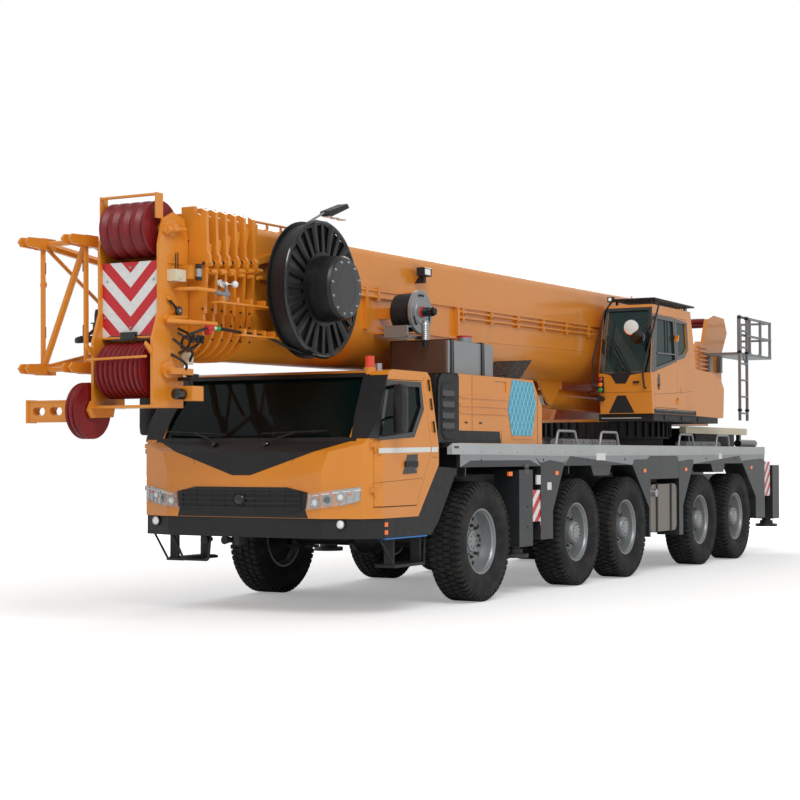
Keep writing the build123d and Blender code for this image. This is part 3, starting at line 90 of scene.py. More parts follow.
class Value:
    """A shader socket whose Python arithmetic adds Math nodes."""

    def __init__(self, tree, socket):
        self.tree = tree
        self.socket = socket

    def math(self, operation, other=None, swapped=False, clamp=False):
        node = self.tree.nodes.new("ShaderNodeMath")
        node.operation = operation
        node.use_clamp = clamp
        first, second = (other, self) if swapped else (self, other)
        for socket, value in zip(node.inputs, (first, second)):
            if isinstance(value, Value):
                self.tree.links.new(value.socket, socket)
            elif value is not None:
                socket.default_value = value
        return Value(self.tree, node.outputs[0])

    def __add__(self, other):
        return self.math("ADD", other)

    def __radd__(self, other):
        return self.math("ADD", other, True)

    def __sub__(self, other):
        return self.math("SUBTRACT", other)

    def __rsub__(self, other):
        return self.math("SUBTRACT", other, True)

    def __mul__(self, other):
        return self.math("MULTIPLY", other)

    def __rmul__(self, other):
        return self.math("MULTIPLY", other, True)

    def __truediv__(self, other):
        return self.math("DIVIDE", other)

    def __gt__(self, other):
        return self.math("GREATER_THAN", other)

    def __lt__(self, other):
        return self.math("LESS_THAN", other)

    def __mod__(self, other):
        return self.math("FLOORED_MODULO", other)

    def __pow__(self, other):
        return self.math("POWER", other)

    def __abs__(self):
        return self.math("ABSOLUTE")

    def held(self):
        """The value held between 0 and 1."""
        return self.math("ADD", 0.0, clamp=True)


class Finish:
    """A material built on one Principled shader."""

    def __init__(self, name, colour, roughness=0.5, metallic=0.0, **sockets):
        self.material = bpy.data.materials.new(name)
        self.material.use_nodes = True
        self.tree = self.material.node_tree
        self.shader = self.tree.nodes["Principled BSDF"]
        self.set(**{"Base Color": (*colour, 1), "Roughness": roughness, "Metallic": metallic})
        self.set(**{key.replace("_", " "): value for key, value in sockets.items()})
        self.material.diffuse_color = (*colour, 1)
        finishes[name] = self.material

    def set(self, **values):
        """Sets or links the shader's own sockets."""
        for key, value in values.items():
            if isinstance(value, Value):
                self.tree.links.new(value.socket, self.shader.inputs[key])
            else:
                self.shader.inputs[key].default_value = value

    def add(self, kind, settings=None, values=None, output=0):
        """Adds one node: its settings first, then its sockets' values or links."""
        node = self.tree.nodes.new("ShaderNode" + kind)
        for key, value in (settings or {}).items():
            if key == "stops":
                ramp = node.color_ramp
                while len(ramp.elements) < len(value):
                    ramp.elements.new(0.5)
                for element, (position, colour) in zip(ramp.elements, value):
                    element.position = position
                    element.color = (*colour, 1)
            else:
                setattr(node, key, value)
        for key, value in (values or {}).items():
            if isinstance(value, Value):
                self.tree.links.new(value.socket, node.inputs[key])
            else:
                node.inputs[key].default_value = value
        return Value(self.tree, node.outputs[output])

    def place(self):
        """The crane's own coordinates, which move with each piece."""
        return self.add("TexCoord", output=3)

    def noise(self, scale, detail=3.0, stretch=None):
        """Noise over the crane's coordinates, about 0.5."""
        where = self.place()
        if stretch:
            where = self.add("Mapping", values={"Vector": where, "Scale": stretch})
        return self.add("TexNoise", values={"Vector": where, "Scale": scale, "Detail": detail})

    def mix(self, factor, first, second):
        """Colour between two colours."""
        values = {0: factor, 6: first, 7: second}
        return self.add("Mix", {"data_type": "RGBA"}, values, output=2)

    def bump(self, height, strength=0.3, distance=0.002):
        """Bump from a height, put on the shader."""
        normal = self.add("Bump", values={"Height": height, "Strength": strength, "Distance": distance})
        self.set(Normal=normal)


def linear(red, green, blue):
    """Screen colour, 0 to 255, as the shader's linear colour."""
    def one(value):
        share = value / 255
        return share / 12.92 if share <= 0.04045 else ((share + 0.055) / 1.055) ** 2.4
    return tuple(one(value) for value in (red, green, blue))


class CraneColours(bpy.types.PropertyGroup):
    """Colours of the crane's main finishes."""

    paint: bpy.props.FloatVectorProperty(
        name="Paint", description="Orange-yellow of the boom and both cabs", subtype="COLOR",
        default=linear(220, 136, 36), min=0, max=1)
    chassis: bpy.props.FloatVectorProperty(
        name="Chassis", description="Charcoal of the chassis, skirts and bumper", subtype="COLOR",
        default=linear(36, 39, 42), min=0, max=1)
    deck: bpy.props.FloatVectorProperty(
        name="Deck", description="Light grey of the deck and its edge", subtype="COLOR",
        default=linear(176, 180, 180), min=0, max=1)
    sheave: bpy.props.FloatVectorProperty(
        name="Sheaves", description="Deep red of the rope sheaves", subtype="COLOR",
        default=linear(142, 22, 28), min=0, max=1)
    panel: bpy.props.FloatVectorProperty(
        name="Hood panel", description="Blue of the patterned panel on the hood", subtype="COLOR",
        default=linear(66, 168, 200), min=0, max=1)


class CraneSizes(bpy.types.PropertyGroup):
    """Sizes of the small parts that repeat."""

    lug_depth: bpy.props.FloatProperty(
        name="Tread depth", description="Depth of the tyre's tread", default=0.017, unit="LENGTH")
    lug_count: bpy.props.IntProperty(
        name="Tread lugs", description="Lugs round each shoulder of a tyre", default=58, min=20, max=70)
    bolt_radius: bpy.props.FloatProperty(
        name="Bolt", description="Radius of a wheel nut", default=0.016, unit="LENGTH")
    paint_wear: bpy.props.FloatProperty(
        name="Paint wear", description="How much the paint varies", default=0.5, min=0, max=1,
                                        subtype="FACTOR")


def colours():
    return bpy.context.scene.crane_colours


def sizes():
    return bpy.context.scene.crane_sizes


# Finishes


def sprayed(name, colour, roughness=0.32, coat=0.5, dust=0.25):
    """Sprayed enamel with soft random mottling of dust and a fine orange peel."""
    finish = Finish(name, colour, roughness, Coat_Weight=coat, Coat_Roughness=0.12)
    cloud = finish.noise(1.7, 4.0)
    fine = finish.noise(26.0, 3.0)
    grime = ((cloud - 0.45) * 2.2).held() * dust * sizes().paint_wear
    grime = grime + ((fine - 0.5) * 0.16 * sizes().paint_wear)
    dirt = tuple(channel * 0.42 + 0.03 for channel in colour)
    finish.set(**{"Base Color": finish.mix(grime.held(), (*colour, 1), (*dirt, 1))})
    finish.set(Roughness=(roughness + (fine - 0.5) * 0.18 + grime * 0.4).held())
    finish.bump(finish.noise(420.0, 2.0), 0.06, 0.0006)
    return finish


def make_finishes():
    """Every material of the crane, by name."""
    tint = colours()
    sprayed("crane_paint", tint.paint, 0.34, 0.55, 0.35)
    sprayed("chassis_paint", tint.chassis, 0.42, 0.25, 0.5)
    sprayed("deck_paint", tint.deck, 0.5, 0.1, 0.5)
    sprayed("white_paint", linear(225, 226, 222), 0.4, 0.3, 0.2)
    sprayed("silver_paint", linear(150, 153, 155), 0.38, 0.2, 0.35).set(Metallic=0.55)
    sprayed("red_paint", linear(196, 28, 34), 0.4, 0.3, 0.2)
    sprayed("cream_paint", linear(214, 204, 176), 0.5, 0.1, 0.3)

    trim = Finish("dark_trim", linear(26, 27, 29), 0.55)
    trim.bump(trim.noise(900.0, 2.0), 0.12, 0.0006)
    trim.set(Roughness=(trim.noise(9.0, 3.0) * 0.25 + 0.42).held())

    gloss = Finish("gloss_black", linear(14, 15, 17), 0.12, Coat_Weight=0.6)
    gloss.set(Roughness=(gloss.noise(6.0, 3.0) * 0.14 + 0.06).held())

    steel = Finish("cast_steel", linear(70, 70, 70), 0.5, 0.75)
    rough = steel.noise(38.0, 4.0)
    steel.set(**{"Base Color": steel.mix(rough, (*linear(52, 50, 48), 1), (*linear(92, 90, 88), 1))})
    steel.bump(steel.noise(160.0, 3.0), 0.25, 0.001)

    dark = Finish("dark_steel", linear(38, 39, 41), 0.48, 0.6)
    dark.set(**{"Base Color": dark.mix(dark.noise(20.0, 3.0), (*linear(28, 28, 30), 1),
                                       (*linear(58, 58, 60), 1))})
    dark.bump(dark.noise(210.0, 2.0), 0.15, 0.0008)

    chrome = Finish("chrome_rod", linear(206, 208, 210), 0.12, 1.0)
    chrome.set(Roughness=(chrome.noise(30.0, 2.0, (1, 1, 12)) * 0.14 + 0.06).held())

    bright = Finish("bright_metal", linear(186, 188, 190), 0.3, 0.95)
    bright.set(Roughness=(bright.noise(60.0, 3.0) * 0.22 + 0.2).held())

    alloy = Finish("grey_aluminium", linear(142, 146, 150), 0.42, 0.7)
    brushed = alloy.noise(55.0, 2.0, (1, 1, 9))
    alloy.set(Roughness=(brushed * 0.25 + 0.3).held())
    alloy.bump(brushed, 0.08, 0.0006)

    tank = Finish("tank_metal", linear(128, 120, 112), 0.36, 0.55)
    sheen = tank.noise(3.0, 3.0, (1, 1, 3))
    tank.set(**{"Base Color": tank.mix(sheen, (*linear(108, 101, 95), 1), (*linear(146, 138, 130), 1))})
    tank.set(Roughness=(sheen * 0.3 + 0.2).held())

    rubber = Finish("tyre_rubber", linear(24, 24, 25), 0.82)
    dusty = rubber.noise(7.0, 4.0)
    rubber.set(**{"Base Color": rubber.mix(((dusty - 0.42) * 2.4).held(), (*linear(19, 19, 20), 1),
                                           (*linear(50, 47, 44), 1))})
    rubber.bump(rubber.noise(240.0, 3.0), 0.2, 0.0008)

    hose = Finish("black_hose", linear(20, 20, 21), 0.5)
    hose.bump(hose.noise(500.0, 1.0), 0.15, 0.0005)

    reel = Finish("reel_plastic", linear(17, 17, 18), 0.38)
    reel.set(Roughness=(reel.noise(14.0, 3.0) * 0.3 + 0.24).held())

    red = Finish("sheave_plastic", tint.sheave, 0.42)
    red.set(**{"Base Color": red.mix(red.noise(16.0, 3.0), (*tint.sheave, 1), (*linear(92, 12, 18), 1))})
    red.set(Roughness=(red.noise(40.0, 2.0) * 0.3 + 0.28).held())

    fabric = Finish("cab_fabric", linear(34, 36, 40), 0.9, Sheen_Weight=0.3)
    weave = fabric.add("TexWave", {"wave_type": "BANDS", "bands_direction": "DIAGONAL"},
                       {"Vector": fabric.place(), "Scale": 220.0, "Distortion": 2.0})
    fabric.bump(weave, 0.3, 0.0008)

    tread = Finish("blue_tread", linear(24, 104, 178), 0.5)
    tread.set(**{"Base Color": tread.mix(tread.noise(60.0, 2.0), (*linear(18, 84, 152), 1),
                                         (*linear(48, 134, 204), 1))})
    mirror = Finish("mirror_glass", linear(120, 150, 150), 0.05, 0.9)
    mirror.set(Roughness=(mirror.noise(4.0, 2.0) * 0.08 + 0.01).held())

    sprayed("maroon_paint", linear(92, 62, 50), 0.4, 0.3, 0.3)
    mesh = Finish("mesh_metal", linear(70, 58, 52), 0.6, 0.5)
    grid = mesh.add("TexVoronoi", {"feature": "DISTANCE_TO_EDGE"}, {"Vector": mesh.place(), "Scale": 34.0})
    mesh.set(**{"Base Color": mesh.mix((grid * 8).held(), (*linear(104, 88, 78), 1),
                                       (*linear(30, 24, 22), 1))})
    mesh.bump(grid, 0.6, 0.003)

    glass_look("clear_glass", linear(44, 74, 72), 0.42)
    glass_look("cab_glazing", linear(20, 40, 40), 0.32)
    glass_look("lens_glass", linear(235, 240, 242), 0.14)

    lamp_look("orange_lens", linear(238, 110, 16), 0.5)
    lamp_look("red_lens", linear(176, 16, 14), 0.25)
    lamp_look("beacon_lens", linear(214, 62, 34), 0.5)
    lamp_look("green_lens", linear(30, 150, 60), 0.3)
    lamp_look("white_lens", linear(236, 238, 236), 0.3)
    chevrons()
    hood_finishes()
    rope_finish()
    tread_plate()


def glass_look(name, colour, mirror):
    """Thin tinted pane: partly see-through, with a clear reflection."""
    finish = Finish(name, colour, 0.04)
    tree = finish.tree
    clear = tree.nodes.new("ShaderNodeBsdfTransparent")
    clear.inputs["Color"].default_value = (*[min(1, channel * 1.6 + 0.12) for channel in colour], 1)
    fresnel = finish.add("LayerWeight", values={"Blend": mirror})
    streaks = finish.noise(2.5, 3.0)
    finish.set(Roughness=(streaks * 0.05 + 0.02).held())
    mixer = tree.nodes.new("ShaderNodeMixShader")
    share = (fresnel + mirror).held()
    tree.links.new(share.socket, mixer.inputs[0])
    tree.links.new(clear.outputs[0], mixer.inputs[1])
    tree.links.new(finish.shader.outputs[0], mixer.inputs[2])
    tree.links.new(mixer.outputs[0], tree.nodes["Material Output"].inputs["Surface"])


def lamp_look(name, colour, glow):
    """Coloured lens with fine ribs and a faint emission, a painted glow; it also lights the side reflectors,
    the operator's mirror rim and a hose gland, which are no lamps.
    """
    finish = Finish(name, colour, 0.15, Coat_Weight=0.5)
    # painted glow: a faint emission on every lens
    finish.set(**{"Emission Color": (*colour, 1), "Emission Strength": glow * 0.35})
    ribs = finish.add("TexWave", {"wave_type": "BANDS", "bands_direction": "Z"},
                      {"Vector": finish.place(), "Scale": 60.0})
    finish.bump(ribs, 0.3, 0.0015)


def chevrons():
    """Red and white board: bands that fall towards the middle, worked out from place."""
    finish = Finish("chevron_board", linear(200, 28, 38), 0.35, Coat_Weight=0.3)
    y, z = axis_of(finish, "Y"), axis_of(finish, "Z")
    slope = 0.98
    band = 0.27
    phase = (z - abs(y) * slope - 3.046) / band
    stripe = (phase % 1.0) < 0.5
    grain = finish.noise(24.0, 3.0)
    red = finish.mix(grain, (*linear(206, 30, 40), 1), (*linear(180, 20, 32), 1))
    white = finish.mix(grain, (*linear(232, 232, 230), 1), (*linear(206, 206, 204), 1))
    finish.set(**{"Base Color": finish.mix(stripe, white, red)})
    hazard = Finish("hazard_board", linear(200, 28, 38), 0.35, Coat_Weight=0.3)
    x, z = axis_of(hazard, "X"), axis_of(hazard, "Z")
    slant = ((z + x * 0.9) / 0.2) % 1.0
    hazard.set(**{"Base Color": hazard.mix(slant > 0.5, (*linear(228, 228, 226), 1),
                                           (*linear(200, 26, 36), 1))})
    hazard.bump(hazard.noise(500.0, 2.0), 0.1, 0.0004)


def axis_of(finish, letter):
    """One of the crane's coordinates as a value."""
    output = "XYZ".index(letter)
    return finish.add("SeparateXYZ", values={"Vector": finish.place()}, output=output)


def hood_finishes():
    """Blue hood panel and the pale net of plain diamonds over it."""
    tint = colours()
    finish = Finish("hood_panel", tint.panel, 0.4, Coat_Weight=0.4)
    shade = finish.noise(5.0, 3.0)
    deep = tuple(channel * 0.62 for channel in tint.panel)
    finish.set(**{"Base Color": finish.mix(shade, (*tint.panel, 1), (*deep, 1))})
    finish.bump(finish.noise(300.0, 2.0), 0.08, 0.0005)
    net = Finish("hood_net", linear(150, 214, 226), 0.4)
    net.set(Roughness=(net.noise(30.0, 2.0) * 0.2 + 0.3).held())


def rope_finish():
    """Steel wire rope: bright strands wound round it."""
    finish = Finish("wire_rope", linear(92, 88, 82), 0.45, 0.6)
    strands = finish.add("TexWave", {"wave_type": "BANDS", "bands_direction": "DIAGONAL"},
                         {"Vector": finish.place(), "Scale": 60.0, "Distortion": 0.5})
    finish.set(**{"Base Color": finish.mix(strands, (*linear(54, 50, 46), 1), (*linear(128, 122, 114), 1))})
    finish.bump(strands, 0.6, 0.003)


def tread_plate():
    """Chequered walking plate: raised tears in two directions."""
    finish = Finish("tread_plate", linear(118, 120, 120), 0.5, 0.35)
    x, y = axis_of(finish, "X"), axis_of(finish, "Y")
    pitch = 0.06
    across = abs(((x + y) / pitch) % 1.0 - 0.5) < 0.12
    along = abs(((x - y) / pitch) % 1.0 - 0.5) < 0.32
    turned = abs(((x - y) / pitch) % 1.0 - 0.5) < 0.12
    second = abs(((x + y) / pitch) % 1.0 - 0.5) < 0.32
    tears = (across * along + turned * second).held()
    finish.bump(tears, 0.8, 0.002)
    dull = finish.noise(4.0, 4.0)
    finish.set(**{"Base Color": finish.mix(dull, (*linear(96, 97, 97), 1), (*linear(150, 152, 152), 1))})


# Mesh making


class Form:
    """One piece's mesh, drawn in the crane's measured places."""

    def __init__(self, name, *materials):
        self.name = name
        self.mesh = bmesh.new()
        self.materials = [finishes[material] for material in materials]
        self.current = 0

    def use(self, number):
        """Later faces take this material, by its place in the list."""
        self.current = number
        return self

    def face(self, corners):
        made = self.mesh.faces.new(corners)
        made.material_index = self.current
        return made

    def loft(self, rings, closed=True, caps=True):
        """Skin over rings of points; each ring has as many points."""
        rows = [[self.mesh.verts.new(point) for point in ring] for ring in rings]
        count = len(rows[0])
        last = count if closed else count - 1
        for low, high in zip(rows, rows[1:]):
            for step in range(last):
                after = (step + 1) % count
                self.face([low[step], low[after], high[after], high[step]])
        if caps and closed:
            self.face(rows[0][::-1])
            self.face(rows[-1])
        return self

    def box(self, x, y, z):
        """Box between a low and a high value on each axis."""
        (x0, x1), (y0, y1), (z0, z1) = sorted(x), sorted(y), sorted(z)
        low = [(x0, y0, z0), (x1, y0, z0), (x1, y1, z0), (x0, y1, z0)]
        high = [(x0, y0, z1), (x1, y0, z1), (x1, y1, z1), (x0, y1, z1)]
        return self.loft([low, high])

    def slab(self, points, span, axis="Y"):
        """Outline as thick as the span: (x, z) along Y, (y, z) along X or (x, y) along Z."""
        if axis == "Y":
            rings = [[(x, depth, z) for x, z in points] for depth in sorted(span)]
        elif axis == "X":
            rings = [[(depth, y, z) for y, z in points] for depth in sorted(span)]
        else:
            rings = [[(x, y, depth) for x, y in points] for depth in sorted(span)]
        return self.loft(rings)

    def lathe(self, profile, centre, axis="Y", steps=48, closed=False):
        """Profile of (radius, along) turned about an axis, which is a letter or a direction."""
        way = {"X": Vector((1, 0, 0)), "Y": Vector((0, 1, 0)), "Z": Vector((0, 0, 1))}
        ahead = way[axis] if isinstance(axis, str) else Vector(axis).normalized()
        side = ahead.orthogonal().normalized()
        up = ahead.cross(side)
        rings = []
        for radius, along in profile:
            ring = []
            for step in range(steps):
                angle = math.tau * step / steps
                ring.append(Vector(centre) + ahead * along + side * radius * math.cos(angle)
                            + up * radius * math.sin(angle))
            rings.append(ring)
        if closed:
            rings.append(rings[0])
        return self.loft(rings, caps=not closed)

    def rod(self, start, end, radius, sides=12, end_radius=None, caps=True):
        """Round bar or cone between two points."""
        return self.tube([start, end], radius, sides, end_radius=end_radius, caps=caps)

    def tube(self, path, radius, sides=8, closed=False, end_radius=None, caps=True):
        """Round tube along a list of points."""
        points = [Vector(point) for point in path]
        count = len(points)
        rings = []
        normal = None
        for index, point in enumerate(points):
            if closed:
                way = points[(index + 1) % count] - points[index - 1]
            else:
                way = points[min(index + 1, count - 1)] - points[max(index - 1, 0)]
            way.normalize()
            if normal is None:
                normal = way.orthogonal().normalized()
            normal = (normal - way * normal.dot(way)).normalized()
            side = way.cross(normal)
            share = index / max(count - 1, 1)
            wide = radius if end_radius is None else radius + (end_radius - radius) * share
            ring = [point + (normal * math.cos(math.tau * step / sides)
                             + side * math.sin(math.tau * step / sides)) * wide for step in range(sides)]
            rings.append(ring)
        if closed:
            rings.append(rings[0])
        return self.loft(rings, caps=caps and not closed)

    def ball(self, centre, radius, sides=12):
        """Round knob."""
        made = bmesh.ops.create_uvsphere(self.mesh, u_segments=sides, v_segments=sides // 2, radius=radius,
                                         matrix=Matrix.Translation(centre))
        for vertex in made["verts"]:
            for face in vertex.link_faces:
                face.material_index = self.current
        return self

    def nut(self, centre, axis, radius, height):
        """Hexagon nut standing along an axis."""
        way = Vector(axis) * height
        return self.rod(Vector(centre), Vector(centre) + way, radius, 6)

    def mirror(self):
        """Adds the same geometry on the other side of the crane."""
        made = bmesh.ops.duplicate(self.mesh,
                                   geom=self.mesh.verts[:] + self.mesh.edges[:] + self.mesh.faces[:])
        verts = [item for item in made["geom"] if isinstance(item, bmesh.types.BMVert)]
        faces = [item for item in made["geom"] if isinstance(item, bmesh.types.BMFace)]
        for vertex in verts:
            vertex.co.y = -vertex.co.y
        bmesh.ops.reverse_faces(self.mesh, faces=faces)
        return self

    def done(self, body, slot, bevel=0.0, smooth=35.0, replaced=()):
        """Makes the object, moves it into the frame and lets it ride on its body."""
        bmesh.ops.remove_doubles(self.mesh, verts=self.mesh.verts[:], dist=0.00002)
        bmesh.ops.recalc_face_normals(self.mesh, faces=self.mesh.faces[:])
        bmesh.ops.translate(self.mesh, verts=self.mesh.verts[:], vec=(AXLE, 0, 0))
        data = bpy.data.meshes.new(self.name)
        self.mesh.to_mesh(data)
        self.mesh.free()
        for material in self.materials:
            data.materials.append(material)
        data.set_sharp_from_angle(angle=math.radians(smooth))
        piece = bpy.data.objects.new(self.name, data)
        bpy.context.scene.collection.objects.link(piece)
        if bevel:
            rounding = piece.modifiers.new("Rounding", "BEVEL")
            rounding.width = bevel
            rounding.segments = 2
            rounding.limit_method = "ANGLE"
            rounding.angle_limit = math.radians(40)
            rounding.harden_normals = True
        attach(piece, body)
        if replaced:
            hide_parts(*replaced)
        return piece


def on_boom(along, across, up):
    """Point measured along, across and above the boom's axis, in the crane's places."""
    return (PIVOT[0] + along * math.cos(RAKE) + up * math.sin(RAKE), across,
            PIVOT[1] - along * math.sin(RAKE) + up * math.cos(RAKE))


def arc(centre, radius, start, end, steps):
    """Points on an arc, in degrees, for outlines."""
    points = []
    for step in range(steps + 1):
        angle = math.radians(start + (end - start) * step / steps)
        points.append((centre[0] + radius * math.cos(angle), centre[1] + radius * math.sin(angle)))
    return points


# CAD nodes


def repaint(node, material, test=None):
    """Gives a CAD node's faces a finish; a test on the face's middle and normal picks which."""
    data = NODES[node].data
    if test is None:
        data.materials.clear()
        data.materials.append(finishes[material])
        return
    data.materials.append(finishes[material])
    number = len(data.materials) - 1
    for polygon in data.polygons:
        middle = polygon.center - Vector((AXLE, 0, 0))
        if test(middle, polygon.normal):
            polygon.material_index = number


NODE_FINISH = {
    "carrier_frame": "chassis_paint", "carrier_deck": "chassis_paint", "drive_train": "dark_steel",
    "driver_cab": "crane_paint", "cab_glass": "cab_glazing", "cab_interior": "cab_fabric",
    "cab_trim": "dark_trim", "engine_hood": "crane_paint", "carrier_tanks": "tank_metal",
    "turntable": "crane_paint", "operator_cab": "crane_paint", "operator_glass": "clear_glass",
    "rear_platform": "grey_aluminium", "winch_drum": "wire_rope", "boom_base": "crane_paint",
    "head_sheaves_upper": "sheave_plastic", "head_sheaves_lower": "sheave_plastic",
    "aux_arm": "crane_paint", "aux_sheave": "sheave_plastic", "hose_reel": "reel_plastic",
    "rope_reel": "silver_paint", "swing_jib": "crane_paint", "luff_barrel": "crane_paint",
    "luff_rod": "chrome_rod", "driver_door_left": "crane_paint", "driver_door_right": "crane_paint",
    "operator_door": "crane_paint",
}


def dress_nodes():
    """Gives every carried-over CAD node its finish."""
    for name, node in NODES.items():
        for polygon in node.data.polygons:
            polygon.material_index = 0
        finish = NODE_FINISH.get(name)
        if finish is None:
            for start, look in (("boom_section", "crane_paint"), ("wheel", "tyre_rubber"),
                                ("knuckle", "cast_steel"), ("outrigger_beam", "chassis_paint"),
                                ("outrigger_jack", "cast_steel")):
                if name.startswith(start):
                    finish = look
        repaint(name, finish)
    for name, finish, test in detail_paints():
        repaint(name, finish, test)


def room(x=None, y=None, z=None):
    """Test that picks faces whose middle lies between low and high values."""
    spans = (x, y, z)
    return lambda p, n: all(span is None or min(span) <= value <= max(span) for value, span in zip(p, spans))


def inside(outline, a, b):
    """Whether a point lies inside an outline."""
    odd = False
    for (a1, b1), (a2, b2) in zip(outline, outline[1:] + outline[:1]):
        if (b1 > b) != (b2 > b) and a < a1 + (a2 - a1) * (b - b1) / (b2 - b1):
            odd = not odd
    return odd


def cab_skin(p):
    """How far ahead the driver's cab reaches at a point's side and height."""
    return min(between(CAB_SIDE, p.z), between(CAB_PLAN, abs(p.y)))


def in_cab(p, n):
    """Inner faces of the driver's cab and its doors."""
    return (1.02 < p.z < 2.462 and 1.04 < p.x < cab_skin(p) - 0.036
            and abs(p.y) < between(CAB_FRONT, p.z) - 0.036)


def in_screen(p, n):
    """Edges of the windscreen opening."""
    return abs(p.y) < 1.192 and 1.79 < p.z < 2.432 and cab_skin(p) - 0.06 < p.x < cab_skin(p) + 0.0003


def pane_face(outline, skin):
    """Test for a door's pane, which lies inside its wall."""
    return lambda p, n: (inside(outline, p.x, p.z) and abs(n.y) > 0.7
                         and 0.010 < between(skin, p.z) - abs(p.y) < 0.040)


def edge_face(outline, skin):
    """Test for the edges of a door's window."""
    low, high = min(z for x, z in outline), max(z for x, z in outline)
    rear, front = min(x for x, z in outline), max(x for x, z in outline)
    return lambda p, n: (rear - 0.01 < p.x < front + 0.01 and low - 0.01 < p.z < high + 0.01
                         and abs(n.y) < 0.7 and 0.0005 < between(skin, p.z) - abs(p.y) < 0.047)


def ahead_of_op_cab(p, n):
    """Whatever stands proud of the operator's cab's front."""
    return p.x > between(OP_FRONT, p.z) + 0.0015


def in_op_cab(p, n):
    """Inner faces of the operator's cab and its door, with the seat."""
    return (-7.15 < p.x < between(OP_FRONT, p.z) - 0.03 and 2.23 < p.z < 3.70
            and 0.67 < p.y < between(OP_FLANK, p.z) - 0.036)


def on_board(p, n):
    """Faces of the striped board on the boom's head."""
    along, up = p.x - PIVOT[0], p.z - PIVOT[1]
    u, w = along * math.cos(RAKE) - up * math.sin(RAKE), along * math.sin(RAKE) + up * math.cos(RAKE)
    return 13.368 < u < 13.387 and abs(p.y) < 0.336 and -0.305 < w < 0.415 and n.x > 0.5


def near(x, y, reach, low, high):
    """Test for faces round an upright axis."""
    return lambda p, n: math.hypot(p.x - x, p.y - y) < reach and low < p.z < high


